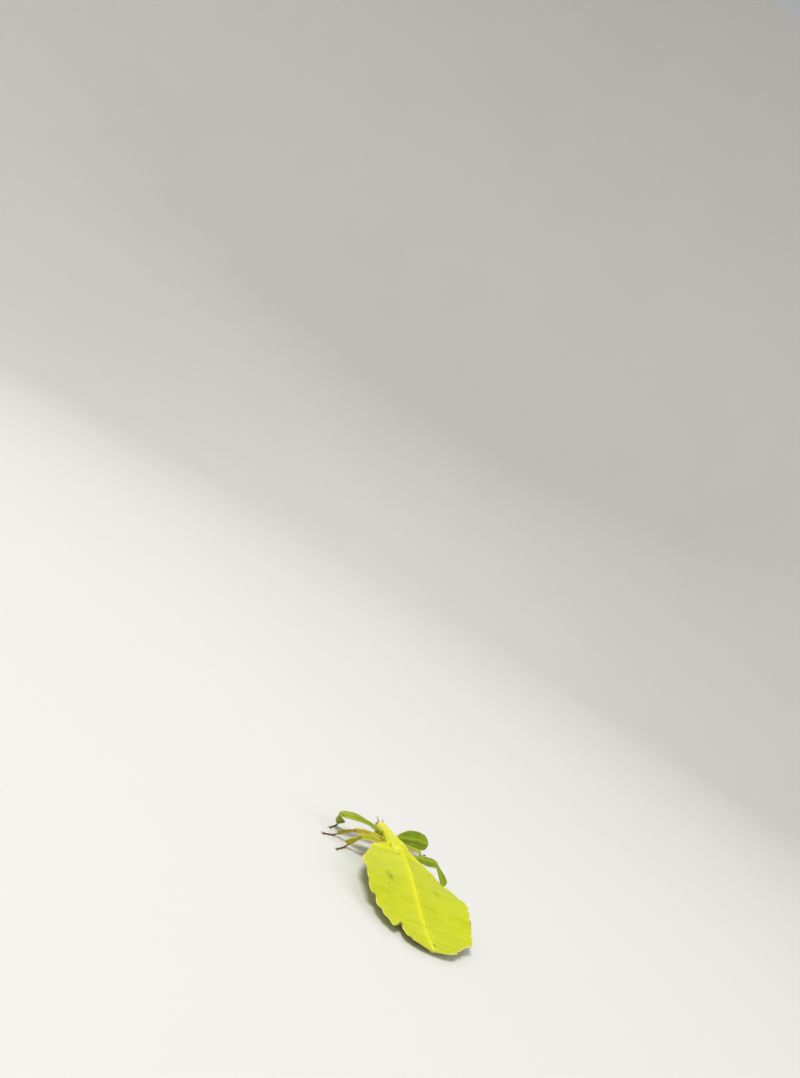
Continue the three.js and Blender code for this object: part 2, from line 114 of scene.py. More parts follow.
# The head's place on the back, and the eyes' distances from its middle.
HEAD_STATION = 3.2
EYE = {"out": 2.35, "ahead": 1.15, "above": 0.75, "radius": 0.98}

# Joints of each leg from the thorax to the claws; the directions in which its flat lobes spread; how far
# its two long parts bow out; and the widths of the lobes.
LEGS = {
    "left_fore": {
        "root": [-2.9, 40.3, 6.3], "hip": [-5.4, 40.4, 6.9], "knee": [-26.4, 37.4, 7.6],
        "ankle": [-22.2, 43.7, 1.3], "toe": [-26.9, 38.6, 0.5], "spread": [0, 1, 0.03],
        "shin": [0.81, -0.27, 0.51], "bow": [0, 1.2, 1.2], "shin_bow": [-0.7, 0.2, -0.5],
        "outer": 2.6, "inner": 2.3, "calf": 3.0,
    },
    "left_mid": {
        "root": [-3.7, 33.6, 6.3], "hip": [-6.2, 33.2, 7.0], "knee": [-20.6, 28.9, 7.2],
        "ankle": [-24.9, 33.0, 1.3], "toe": [-32.2, 30.0, 0.5], "spread": [0.25, 1, 0.1],
        "shin": [-1, 0.3, -0.4], "bow": [0.2, 0.7, 0.3], "shin_bow": [0, 0.2, 0.2],
        "outer": 1.0, "inner": 1.4, "calf": 1.6,
    },
    "left_hind": {
        "root": [-4.9, 28.9, 6.4], "hip": [-7.2, 28.9, 7.0], "knee": [-19.6, 23.9, 7.5],
        "ankle": [-21.4, 26.7, 1.3], "toe": [-27.6, 20.7, 0.5], "spread": [0.25, 1, 0.08],
        "shin": [-1, -0.1, 0.1], "bow": [0.2, 0.9, 0.4], "shin_bow": [0.2, 0, 0],
        "outer": 1.3, "inner": 1.3, "calf": 2.8,
    },
    "right_fore": {
        "root": [2.9, 40.3, 6.3], "hip": [5.4, 41.0, 7.0], "knee": [23.4, 46.6, 7.6],
        "ankle": [13.6, 52.2, 1.3], "toe": [7.4, 56.6, 0.5], "spread": [-0.15, 0.42, 0.9],
        "shin": [1, 0.6, -0.5], "bow": [-0.1, 0.4, 0.5], "shin_bow": [-0.4, -0.3, 0.2],
        "outer": 3.4, "inner": 3.0, "calf": 3.0,
    },
    "right_mid": {
        "root": [3.7, 33.6, 6.3], "hip": [6.2, 34.4, 7.0], "knee": [17.9, 39.8, 5.5],
        "ankle": [24.0, 46.6, 1.3], "toe": [28.8, 52.4, 0.5], "spread": [0.1, 1, 0.05],
        "shin": [0.6, -0.8, -0.2], "bow": [0, 0.3, 0.1], "shin_bow": [0, 0, 0],
        "outer": 1.3, "inner": 1.0, "calf": 1.5,
    },
    "right_hind": {
        "root": [4.9, 28.9, 6.4], "hip": [7.2, 29.0, 6.1], "knee": [22.8, 30.4, 7.2],
        "ankle": [27.6, 24.4, 1.3], "toe": [33.0, 19.0, 0.5], "spread": [0.05, 0.85, 0.5],
        "shin": [1, 0.2, 0.3], "bow": [0, -0.1, 0.1], "shin_bow": [0.2, 0, 0],
        "outer": 1.6, "inner": 1.6, "calf": 2.6, "broadens": True,
    },
}

# Share of the full width of each lobe along the thigh and the shin, from their tops to their ends.
THIGH_OUTER = [[0, 0.1], [0.12, 0.5], [0.35, 0.9], [0.6, 1], [0.85, 0.85], [1, 0.3]]
THIGH_INNER = [[0, 0.06], [0.15, 0.35], [0.4, 0.8], [0.68, 1], [0.88, 0.8], [1, 0.25]]
SHIN_LOBE = [[0, 0.03], [0.25, 0.35], [0.6, 0.85], [0.8, 1], [0.93, 0.7], [1, 0.2]]
# A thigh that broadens towards its knee.
BROADENING_OUTER = [[0, 0.04], [0.2, 0.12], [0.42, 0.45], [0.65, 0.95], [0.8, 1], [0.92, 0.8], [1, 0.3]]
BROADENING_INNER = [[0, 0.06], [0.2, 0.3], [0.42, 0.65], [0.68, 1], [0.88, 0.85], [1, 0.25]]
THIGH_SHAFT = 0.85
SHIN_SHAFT = 0.62

FEELERS = {
    "left": [[-1.1, 51.4, 5.8], [-1.5, 52.7, 6.7], [-2.2, 54.4, 7.6]],
    "right": [[1.1, 51.4, 5.8], [1.3, 53.0, 6.4], [1.7, 55.1, 7.0]],
}
FEELER_ROOT = 1.8  # length of the two thick segments at a feeler's root
FEELER_STOUTNESS = 1.3
# Rings of a round limb: place along it and radius.
FEELER_ROOT_RINGS = [
    [0, 0.50], [0.9, 0.45], [1.12, 0.40], [1.25, 0.25], [1.36, 0.33], [1.66, 0.32], [1.78, 0.19],
]
FEELER_BEAD = ((0.08, 0.2), (0.3, 0.25), (0.75, 0.245))
FEELER_BEAD_PITCH = 0.36
MOUTH_FEELER_PATH = [
    [1.5, 1.2, -2.1], [1.75, 1.6, -2.6], [1.95, 2.3, -3.2], [1.6, 3.25, -3.5], [1.1, 3.75, -3.75],
]
MOUTH_FEELER_RINGS = [
    [0, 0.27], [0.1, 0.30], [0.3, 0.24], [0.36, 0.30], [0.55, 0.27], [0.62, 0.22], [0.7, 0.27], [0.92, 0.24],
    [1, 0.06],
]
HIP_RINGS = [[0, 1.0], [0.35, 1.22], [0.7, 1.25], [0.86, 0.92], [0.93, 1.02], [1, 0.8]]
CLAW_RINGS = [[0, 0.17], [0.4, 0.13], [0.8, 0.07], [1, 0.015]]

# Dark spots of the back, four of them painted shade: across, station, half width, half length and depth of the
# colour.
# Painted shade: the spots at stations 25.9 and 31.6 stand for the shadows behind the wing buds' tips, and those
# at 72.4 and 76.2 for the shade beside the midrib's ridge.
SPOTS_AND_PAINTED_SHADE = [
    (-11.5, 50.8, 1.8, 2.6, 0.34), (-11.2, 51.2, 0.7, 1.0, 0.35), (-13.5, 56.6, 0.4, 0.7, 0.7),
    (0.45, 72.4, 0.38, 0.55, 0.85), (0.8, 76.2, 0.3, 0.45, 0.8), (-3.9, 25.9, 0.9, 0.45, 0.5),
    (-2.3, 31.6, 1.1, 0.4, 0.6), (11.5, 50.6, 1.4, 2.0, 0.2), (-11.2, 58.4, 1.2, 0.5, 0.2),
]
# Brown scars of the margin: across, station and radius.
MARGIN_SCARS = [
    (-22.6, 67.4, 0.9), (-25.2, 58.4, 0.5), (-12.6, 78.6, 1.0), (-9.8, 82.9, 0.8), (1.4, 81.5, 0.7),
    (23.4, 72.0, 0.7), (24.8, 61.0, 0.5),
]
# Brown lines where the rings of the neck and thorax meet: station and depth of the colour.
RING_LINES = [(6.45, 0.5), (11.4, 0.85), (20.6, 0.3)]

# The camera, in millimetres from the drawing's origin, and the stage, in metres.
CAMERA_AT = [-175.7, -277.6, 126.5]
CAMERA_RIGHT = (0.814, -0.274, 0.512)
CAMERA_BACK = (-0.325, -0.946, 0.011)
LENS = 26.95
FLOOR_RADIUS = 1.6
WALL_BEND = 1.2
WALL_HEIGHT = 2.6


# ---------------------------------------------------------------------------
# Settings a user would change


class BodySettings(bpy.types.PropertyGroup):
    """Sizes and colours of the head, thorax and abdomen"""

    tooth_height: FloatProperty(
        name="Tooth height", description="Depth of the fine teeth on the leaf's margin",
        default=0.00024, min=0.0, max=0.001, unit="LENGTH", precision=5)
    tooth_pitch: FloatProperty(
        name="Tooth pitch", description="Distance between the teeth of the margin",
        default=0.00095, min=0.0004, max=0.004, unit="LENGTH", precision=5)
    rim_width: FloatProperty(
        name="Rim width", description="Width of the pale rim round the leaf",
        default=0.00034, min=0.0001, max=0.002, unit="LENGTH", precision=5)
    bead_pitch: FloatProperty(
        name="Bead pitch", description="Distance between the beads of the midrib",
        default=0.00115, min=0.0004, max=0.004, unit="LENGTH", precision=5)
    leaf_colour: FloatVectorProperty(
        name="Leaf", description="Main colour of the abdomen", subtype="COLOR", size=3,
        default=(0.60, 0.64, 0.004), min=0, max=1)
    green_colour: FloatVectorProperty(
        name="Green", description="Greener areas of the abdomen", subtype="COLOR", size=3,
        default=(0.44, 0.55, 0.005), min=0, max=1)
    yellow_colour: FloatVectorProperty(
        name="Yellow", description="The midrib and the top of the thorax", subtype="COLOR", size=3,
        default=(0.82, 0.80, 0.020), min=0, max=1)
    rim_colour: FloatVectorProperty(
        name="Rim", description="Pale rim of the leaf", subtype="COLOR", size=3,
        default=(0.80, 0.70, 0.18), min=0, max=1)
    mark_colour: FloatVectorProperty(
        name="Marks", description="Brown marks of the margin", subtype="COLOR", size=3,
        default=(0.16, 0.07, 0.02), min=0, max=1)


class LegSettings(bpy.types.PropertyGroup):
    """Sizes and colours of the legs and feet"""

    tooth_height: FloatProperty(
        name="Tooth height", description="Height of the teeth along a leg's lobes",
        default=0.00028, min=0.0, max=0.001, unit="LENGTH", precision=5)
    # Painted shade: this green is darkened to stand for the shade on the right legs and the fore legs.
    shaded_leg_colour: FloatVectorProperty(
        name="Leg", description="Green of the fore legs and the right legs", subtype="COLOR", size=3,
        default=(0.24, 0.36, 0.002), min=0, max=1)
    # Partly the left middle and hind legs' own yellow-green and partly painted light: brightened to stand for
    # the light falling on them.
    lit_leg_colour: FloatVectorProperty(
        name="Yellow leg", description="Yellow-green of the left middle and hind legs", subtype="COLOR", size=3,
        default=(0.56, 0.50, 0.005), min=0, max=1)
    pale_leg_colour: FloatVectorProperty(
        name="Pale leg", description="Cream-green of the right middle leg", subtype="COLOR", size=3,
        default=(0.47, 0.47, 0.055), min=0, max=1)
    rim_colour: FloatVectorProperty(
        name="Rim", description="Pale rim of a leg's lobes", subtype="COLOR", size=3,
        default=(0.66, 0.66, 0.17), min=0, max=1)
    foot_colour: FloatVectorProperty(
        name="Foot", description="Brown of the feet", subtype="COLOR", size=3,
        default=(0.17, 0.065, 0.022), min=0, max=1)


class TrimSettings(bpy.types.PropertyGroup):
    """Grains and hairs"""

    grain_density: FloatProperty(
        name="Grain density", description="Grains for each square metre of the thorax",
        default=2200000.0, min=0.0, max=9000000.0)
    grain_radius: FloatProperty(
        name="Grain radius", description="Radius of a grain of the thorax",
        default=0.00011, min=0.00002, max=0.0005, unit="LENGTH", precision=5)
    hair_density: FloatProperty(
        name="Hair density", description="Hairs for each square metre of a foot",
        default=3000000.0, min=0.0, max=20000000.0)
    hair_length: FloatProperty(
        name="Hair length", description="Length of a foot's hairs",
        default=0.00032, min=0.00005, max=0.002, unit="LENGTH", precision=5)
    seed: IntProperty(name="Seed", description="Seed of the scattered grains and hairs", default=7, min=0)


class StageSettings(bpy.types.PropertyGroup):
    """Floor, light and camera"""

    floor_colour: FloatVectorProperty(
        name="Floor", description="Colour of the seamless floor", subtype="COLOR", size=3,
        default=(0.78, 0.77, 0.74), min=0, max=1)
    key_power: FloatProperty(
        name="Key light", description="Power of the key light", default=32.0, min=0, unit="POWER")
    fill_power: FloatProperty(
        name="Fill light", description="Power of the fill light", default=7.0, min=0, unit="POWER")
    world_strength: FloatProperty(
        name="Sky", description="Strength of the surrounding light", default=0.42, min=0)


# ---------------------------------------------------------------------------
# Curves and frames


def along(stops, x):
    """Smooth curve through stops of (x, value), with no overshoot between them."""
    xs, vs = np.array(stops, float).T
    at = np.clip(np.asarray(x, float), xs[0], xs[-1])
    i = np.clip(np.searchsorted(xs, at, side="right") - 1, 0, len(xs) - 2)
    slope = np.diff(vs) / np.diff(xs)
    before, after = slope[:-1], slope[1:]
    level = before * after <= 0
    inner = np.where(level, 0, 2 * before * after / np.where(level, 1, before + after))
    tangent = np.concatenate([[slope[0]], inner, [slope[-1]]])
    h = np.diff(xs)[i]
    t = (at - xs[i]) / h
    rise = t * t * (3 - 2 * t)
    return vs[i] * (1 - rise) + vs[i + 1] * rise + h * t * (1 - t) * ((1 - t) * tangent[i] - t * tangent[i + 1])


def bump(x):
    """1 at 0, falling to 0 at -1 and 1."""
    return np.where(np.abs(x) < 1, (1 - np.minimum(x * x, 1)) ** 2, 0)


def bell(x, width):
    return np.exp(-((x / width) ** 2))


def smooth(x, low, high):
    t = np.clip((x - low) / (high - low), 0, 1)
    return t * t * (3 - 2 * t)


def rounded(distance, radius):
    """0 on an edge, rising to 1 inside it like the side of a round bead."""
    return np.sqrt(1 - (1 - np.clip(distance / radius, 0, 1)) ** 2)


def saw_tooth(phase, peak):
    """Leaning teeth, 0 to 1, one for each unit of the phase."""
    share = phase - np.floor(phase)
    return np.where(share < peak, share / peak, (1 - share) / (1 - peak))


def section_places(top, belly):
    """Places round a section, from -1 to 1 over its top and back below it; and which of them are on top."""
    upper = np.linspace(-1, 1, 2 * top + 1)
    lower = np.linspace(1, -1, 2 * belly + 1)[1:-1]
    is_top = np.concatenate([np.ones(len(upper)), np.zeros(len(lower))])
    return np.concatenate([upper, lower]), is_top[None, :]


def unit(v):
    return v / np.maximum(np.linalg.norm(v, axis=-1, keepdims=True), 1e-9)


def back_frame(s):
    """Place, direction to the tail and direction out of the back at each station."""
    def point(d):
        return np.stack([0 * d, along(BACK_Y, d), along(BACK_Z, d)], -1)
    rear = unit(point(np.minimum(s + 0.05, BODY_LENGTH)) - point(np.maximum(s - 0.05, 0)))
    up = -np.cross(np.array([1.0, 0, 0]), rear)
    return point(np.clip(s, 0, BODY_LENGTH)) + rear * np.minimum(s, 0)[..., None], rear, up


def head_point(side, ahead, above):
    place, rear, up = (v[0] for v in back_frame(np.array([HEAD_STATION])))
    return place - rear * ahead + up * above + np.array([side, 0, 0])


def ripple(a, b, seed):
    """Gentle unevenness, about -1 to 1, over two coordinates in millimetres."""
    total = 0
    for k in range(4):
        wave = 0.9 / (1.6 ** k)
        angle = seed * 1.7 + k * 2.1
        total = total + 0.5 * np.sin((a * math.cos(angle) + b * math.sin(angle)) * wave * 1.1 + seed + k)
    return total


# ---------------------------------------------------------------------------
# Meshes


def mesh_object(name, shells, material):
    """One object of closed shells. A shell is rings of points (n, m, 3) in mm, with maps on its points."""
    points, faces, maps = [], [], {}
    base = 0
    for rings, shell_maps in shells:
        n, m = rings.shape[:2]
        flat = rings.reshape(-1, 3)
        caps = np.stack([rings[0].mean(0), rings[-1].mean(0)])
        own = np.concatenate([flat, caps])
        i = np.arange(n - 1)[:, None] * m
        j = np.arange(m)[None, :]
        k = (j + 1) % m
        quads = np.stack([i + j, i + k, i + m + k, i + m + j], -1).reshape(-1, 4)
        around = np.arange(m)
        ahead = (around + 1) % m
        first = np.stack([np.full(m, n * m), ahead, around], -1)
        last = np.stack([np.full(m, n * m + 1), (n - 1) * m + around, (n - 1) * m + ahead], -1)
        a, b, c, d = (own[quads[:, q]] for q in range(4))
        volume = np.einsum("ij,ij->", a, np.cross(b, c)) + np.einsum("ij,ij->", a, np.cross(c, d))
        if volume < 0:
            quads, first, last = quads[:, ::-1], first[:, ::-1], last[:, ::-1]
        faces += (quads + base).tolist() + (first + base).tolist() + (last + base).tolist()
        points.append(own)
        for key, values in shell_maps.items():
            values = np.asarray(values, float)
            flat_values = values.reshape(n * m, -1)
            ends = np.stack([flat_values[:m].mean(0), flat_values[-m:].mean(0)])
            maps.setdefault(key, []).append(np.concatenate([flat_values, ends]))
        base += len(own)
    points = (np.concatenate(points) + PLACE) * MM
    mesh = bpy.data.meshes.new(name)
    mesh.from_pydata(points.tolist(), [], faces)
    for key, parts in maps.items():
        values = np.concatenate(parts)
        kind = "FLOAT_VECTOR" if values.shape[1] == 3 else "FLOAT"
        layer = mesh.attributes.new(key, kind, "POINT")
        field = "vector" if kind == "FLOAT_VECTOR" else "value"
        layer.data.foreach_set(field, values.astype(np.float32).ravel())
    mesh.polygons.foreach_set("use_smooth", np.ones(len(mesh.polygons), bool))
    mesh.materials.append(material)
    mesh.update()
    made = bpy.data.objects.new(name, mesh)
    bpy.context.scene.collection.objects.link(made)
    return made


def finish_piece(piece, slot_name, *nodes):
    """Hides the CAD nodes that a piece replaces and attaches the piece to the root body; slot_name is not used.
    """
    if nodes:
        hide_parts(*nodes)
    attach(piece, "root")


def tube_shell(path, radii, sides, steps, flat=1.0, floor=False):
    """A round limb along a smooth path, with its radius at each share of the length."""
    path = np.array(path, float)
    chord = np.concatenate([[0], np.cumsum(np.linalg.norm(np.diff(path, axis=0), axis=1))])
    t = np.linspace(0, 1, steps)
    knots = chord / chord[-1]
    centre = np.stack([along(np.stack([knots, path[:, k]], -1), t) for k in range(3)], -1)
    ahead = unit(np.gradient(centre, axis=0))
    across = unit(np.cross(ahead, np.array([0, 0, 1.0]) + 0 * ahead))
    up = np.cross(across, ahead)
    r = along(radii, t)
    theta = np.linspace(0, 2 * math.pi, sides, endpoint=False)
    rings = (
        centre[:, None]
        + across[:, None] * (np.sin(theta)[None, :, None] * r[:, None, None])
        + up[:, None] * (np.cos(theta)[None, :, None] * r[:, None, None] * flat)
    )
    if floor:
        rings[..., 2] = np.maximum(rings[..., 2], 0)
    along_map = np.stack(np.broadcast_arrays(t[:, None], np.cos(theta)[None, :], r[:, None]), -1)
    return rings, {"limb_map": along_map}


def ball_shell(centre, radii, axes=None, around=28, steps=18):
    axes = np.eye(3) if axes is None else np.array(axes)
    a = np.linspace(-QUARTER_TURN + 1e-3, QUARTER_TURN - 1e-3, steps)
    theta = np.linspace(0, 2 * math.pi, around, endpoint=False)
    local = np.stack(np.broadcast_arrays(
        np.cos(a)[:, None] * np.cos(theta)[None], np.cos(a)[:, None] * np.sin(theta)[None],
        np.sin(a)[:, None] + 0 * theta[None]), -1)
    rings = np.array(centre) + (local * np.array(radii)) @ axes
    span = np.stack(np.broadcast_arrays((a / math.pi + 0.5)[:, None], np.sin(theta)[None], a[:, None] * 0), -1)
    return rings, {"limb_map": span}


# ---------------------------------------------------------------------------
# The body: one skin from the snout to the tail tip


def half_width(s, side, teeth, pitch):
    """Distance from the middle of the back to the margin on one side (-1 left, 1 right)."""
    width = along(BODY_WIDTH, s)
    leaf = smooth(s, 26.0, 29.5) * (1 - smooth(s, 84.2, 85.0))
    waves = 0.10 * np.sin(s * 2.31 + side * 2.2 + 1) + 0.07 * np.sin(s * 4.1 + side)
    phase = s / pitch + 0.55 * np.sin(s * 0.83 + side) + 0.3 * np.sin(s * 2.9)
    tooth = saw_tooth(phase, 0.72) - 0.5
    size = teeth * (0.8 + 0.6 * np.sin(s * 1.9 + 2 * side) * np.sin(s * 0.37 + side))
    measured = along(LEFT_EDGE if side < 0 else RIGHT_EDGE, s)
    width = width + smooth(s, 25.8, 27.5) * measured + leaf * (waves + tooth * size)
    knobs = bump((s / 0.98) % 1 * 2 - 1) * 0.26 * smooth(s, 7.0, 8.0) * (1 - smooth(s, 23.0, 24.5))
    return np.maximum(width + knobs, 0.02)


def cleft_shift(s, x):
    """How far the skin is drawn along the body where the left margin is cleft behind a segment's corner."""
    reach = along([[0, 0], [8, 0], [11.8, -2.5], [13.2, -1.2], [16, 1.0], [18, 1.1], [30, 1.1]], -x)
    fade = np.where(s < 78.6, bell(s - 78.6, 3.6), bell(s - 78.6, 1.5))
    return reach * fade * (x < 0)


def body_stations():
    """Stations of the body's rings, closer together where the shape changes quickly."""
    spans = [
        (-0.05, 1.0, 0.09), (1.0, 25.0, 0.2), (25.0, 27.6, 0.1), (27.6, 82.0, 0.27), (82.0, 84.6, 0.13),
        (84.6, 85.0, 0.05),
    ]
    return np.concatenate([np.arange(a, b, step) for a, b, step in spans] + [[BODY_LENGTH]])


def segment_line(s, x):
    """Signed distance, along the body, from the nearest line between two segments."""
    sweep = 1.5 * (np.abs(x) / 25) ** 1.6
    gaps = np.stack([s - (end + sweep) for end in SEGMENT_ENDS])
    nearest = np.abs(gaps).argmin(0)
    return np.take_along_axis(gaps, nearest[None], 0)[0]


def body_shell(settings):
    """Rings of points round the whole body: a round trunk that flattens into the leaf."""
    s = body_stations()
    teeth, pitch = settings.tooth_height / MM, settings.tooth_pitch / MM
    wide = {side: half_width(s, side, teeth, pitch) for side in (-1, 1)}

    v, is_top = section_places(57, 34)
    S, V = np.meshgrid(s, v, indexing="ij")
    side = np.where(V < 0, -1, 1)
    W = np.where(side < 0, wide[-1][:, None], wide[1][:, None])
    p = np.abs(V)
    g = smooth(S, *LEAF_BEGINS)  # 0 on the trunk, 1 on the leaf

    # the leaf: a thin plate with a ridge on top and a keel below
    x_leaf = side * W * np.sin(QUARTER_TURN * p ** 1.5)
    margin = np.concatenate([np.stack([k * wide[k], s], -1)[s > 25.2] for k in (-1, 1)])
    rim = np.full(S.shape, 9.0)
    for block in np.array_split(np.arange(len(s)), 12):
        here = np.stack([x_leaf[block], S[block]], -1)[:, :, None]
        rim[block] = np.sqrt(((here - margin[None, None]) ** 2).sum(-1).min(-1))
    rim = np.where(p > 0.9999, 0, rim)
    line = segment_line(S, x_leaf)
    out = np.abs(x_leaf)
    share = out / np.maximum(W, 0.1)
    droop = np.radians(along(LEAF_DROOP, S))
    soft = np.hypot(out, 1.2) - 1.2
    crest = along(RIDGE_HEIGHT, S)
    bead = 0.5 + 0.5 * np.cos(2 * math.pi * S / (settings.bead_pitch / MM))
    relief_top = (
        0.35 * bump(out / 9) + 0.4 * crest * bump(out / 3.4)
        + (0.3 + 0.35 * crest) * bell(out, 0.6) * (0.78 + 0.36 * bead)
    )
    relief_top += 0.16 * bump((out - 3.1) / 1.6) * smooth(S, 27, 33)
    # each segment swells a little and ends in a raised edge with a groove behind it
    relief_top += 0.13 * np.exp(np.minimum(line, 0) / 1.1) * (line < 0) * smooth(rim, 0.3, 2.0)
    relief_top -= 0.09 * bell(line - 0.16, 0.22) * smooth(rim, 0.1, 0.8)
    relief_top += 0.10 * ripple(x_leaf, S, 1.0) * smooth(rim, 0.4, 4.0)
    relief_top += 0.035 * bell(rim - 0.24, 0.14)
    folds = np.sin((S - 0.55 * out + 0.25 * np.sin(out * 0.7 + side)) * 2 * math.pi / 5.5)
    relief_top += 0.03 * folds * smooth(out, 2, 7) * smooth(rim, 0.8, 4.0)
    relief_top += 0.05 * (0.5 + 0.5 * folds) ** 8 * smooth(out, 1, 3) * smooth(rim, 0.5, 4.0)
    keel = along(KEEL_DEPTH, S) * bump(out / (along(KEEL_WIDTH, S) * 1.25))
    relief_belly = keel + 0.12 * np.exp(np.minimum(line, 0) / 0.9) * (line < 0) * smooth(rim, 0.3, 2.0)
    relief_belly += 0.06 * ripple(x_leaf, S, 2.0) * smooth(rim, 0.4, 4.0)
    half_thick = (0.13 + 0.12 * smooth(rim, 0.2, 2.2)) * rounded(rim, 0.16)
    faded = smooth(rim, 0.0, 0.9)
    lift = np.where(is_top > 0, half_thick + relief_top * faded, -(half_thick + relief_belly * faded))
    flutter = (0.26 * np.sin(S * 0.62 + side * 0.8) + 0.12 * np.sin(S * 1.51 + side * 2.1)) * share ** 5
    flutter = flutter * smooth(S, 27, 34) * (1 - smooth(S, 79, 84))
    z_leaf = lift - soft * np.sin(droop) - along(AXIS_SAG, S) * (1 - share ** 2) + flutter
    x_flat = x_leaf * np.cos(droop)

    # the trunk: head and thorax, round in section
    theta = V * QUARTER_TURN
    sine, cosine = np.sin(np.abs(theta)), np.cos(theta)
    x_trunk = side * W * sine ** SECTION_POWER
    top = along(TRUNK_TOP, S)
    belly = along(TRUNK_BELLY, S)
    xt = np.abs(x_trunk)
    collar = bell(S - 11.4, 0.32) + bell(S - 6.5, 0.35) + 0.7 * bell(S - 20.6, 0.3)
    carve = -0.28 * collar
    carve += 0.30 * bell(xt, 0.42) * smooth(S, 12, 13.5) * (1 - smooth(S, 19.5, 20.5))
    carve -= 0.16 * bell(xt, 0.3) * smooth(S, 7.2, 8.2) * (1 - smooth(S, 10.2, 11))
    carve -= 0.16 * bell(S - 8.9, 0.3) * bell(xt, 1.9)
    carve += 0.16 * bell(xt - 1.5, 0.6) * smooth(S, 13, 15) * (1 - smooth(S, 19, 20))
    carve -= 0.14 * bell(xt - 1.1, 0.3) * smooth(S, 3.4, 4.2) * (1 - smooth(S, 5.2, 6))
    carve -= 0.10 * bell(S - 2.2, 0.25) * bell(xt, 1.3)
    carve += 0.05 * ripple(x_trunk * 2.2, S * 2.2, 3.0)
    z_trunk = np.where(is_top > 0, top + carve * cosine.clip(0, 1), -belly)
    z_trunk = z_trunk * np.abs(cosine) ** SECTION_POWER
    z_trunk = z_trunk - along(AXIS_SAG, S)

    x = (1 - g) * x_trunk + g * x_flat
    z = (1 - g) * z_trunk + g * z_leaf
    shift = cleft_shift(S, x_leaf) * g
    z = z - 0.35 * smooth(-x_leaf, 13, 16.5) * bell(S - 78.4, 1.6)
    place, rear, up = back_frame(s)
    rings = place[:, None] + up[:, None] * z[..., None] + rear[:, None] * shift[..., None]
    rings[..., 0] += x
    rings[..., 2] = np.maximum(rings[..., 2], 0.0)
    rim_map = np.where(g > 0.5, rim, 9.0)
    x_map = (1 - g) * x_trunk + g * x_leaf
    body_map = np.stack([x_map, S, rim_map], -1)
    grain = (1 - g) * 0.9 * is_top + g * (bell(out, 0.9) * 0.4 + 0.003) * is_top
    grain = grain * smooth(S, 1.4, 3.2) + 0.12 * (1 - is_top) * (1 - g)
    seam = np.where(g > 0.5, np.abs(line), 9.0)
    return rings, {"body_map": body_map, "seam": seam, "grain": grain, "above": is_top + 0 * S}


def back_height(x, s):
    """Height of the back's surface above its axis, without the small relief."""
    x = np.abs(x)
    wide = np.maximum(along(BODY_WIDTH, s), 0.5)
    sine = np.clip(x / wide, 0, 1) ** (1 / SECTION_POWER)
    trunk = along(TRUNK_TOP, s) * np.sqrt(1 - sine ** 2) ** SECTION_POWER - along(AXIS_SAG, s)
    crest = along(RIDGE_HEIGHT, s)
    leaf = 0.24 + 0.35 * bump(x / 9) + 0.4 * crest * bump(x / 3.4) + (0.3 + 0.35 * crest) * bell(x, 0.6)
    leaf -= (np.hypot(x, 1.2) - 1.2) * np.sin(np.radians(along(LEAF_DROOP, s)))
    leaf -= along(AXIS_SAG, s) * (1 - (x / wide) ** 2)
    g = smooth(s, *LEAF_BEGINS)
    return (1 - g) * trunk + g * leaf


def bud_shell(side, first, length, out_start, out_end, half_wide, raised):
    """A flat veined wing bud that grows out of the back at its front end and lies on it."""
    v, top = section_places(18, 18)
    T, V = np.meshgrid(np.linspace(0, 1, 80), v, indexing="ij")
    s = first + length * T
    wide = half_wide * np.maximum(0.0004, 1 - T ** 2.5) ** 0.7 * (0.55 + 0.45 * smooth(T, 0, 0.7))
    wide = wide * np.sqrt(np.clip(T / 0.05, 0.01, 1)) * (1 + 0.025 * np.sin(T * 19))
    local = wide * np.sin(V * QUARTER_TURN)
    x = side * (out_start + (out_end - out_start) * T ** 1.3) + local
    rim = wide - np.abs(local)
    rest = (back_height(x - 0.5, s) + back_height(x, s) + back_height(x + 0.5, s)) / 3
    sunk = 0.5 * (1 - smooth(T, 0.0, 0.45))
    thick = 0.15 * rounded(rim, 0.3)
    fan = local / np.maximum(wide, 0.1)
    veins = 0.055 * bell(np.sin(fan * 6.5 + 0.4 * side), 0.42)
    veins = veins * smooth(rim, 0.08, 0.4) * (1 - smooth(T, 0.8, 1))
    lift = rest - sunk + raised * T + 0.02 + np.where(top > 0, thick + veins + 0.05 * smooth(rim, 0, 1.0), -0.4)
    place, _, up = back_frame(s[:, 0])
    rings = place[:, None] + up[:, None] * lift[..., None]
    rings[..., 0] += x
    return rings, {}


# ---------------------------------------------------------------------------
# Legs


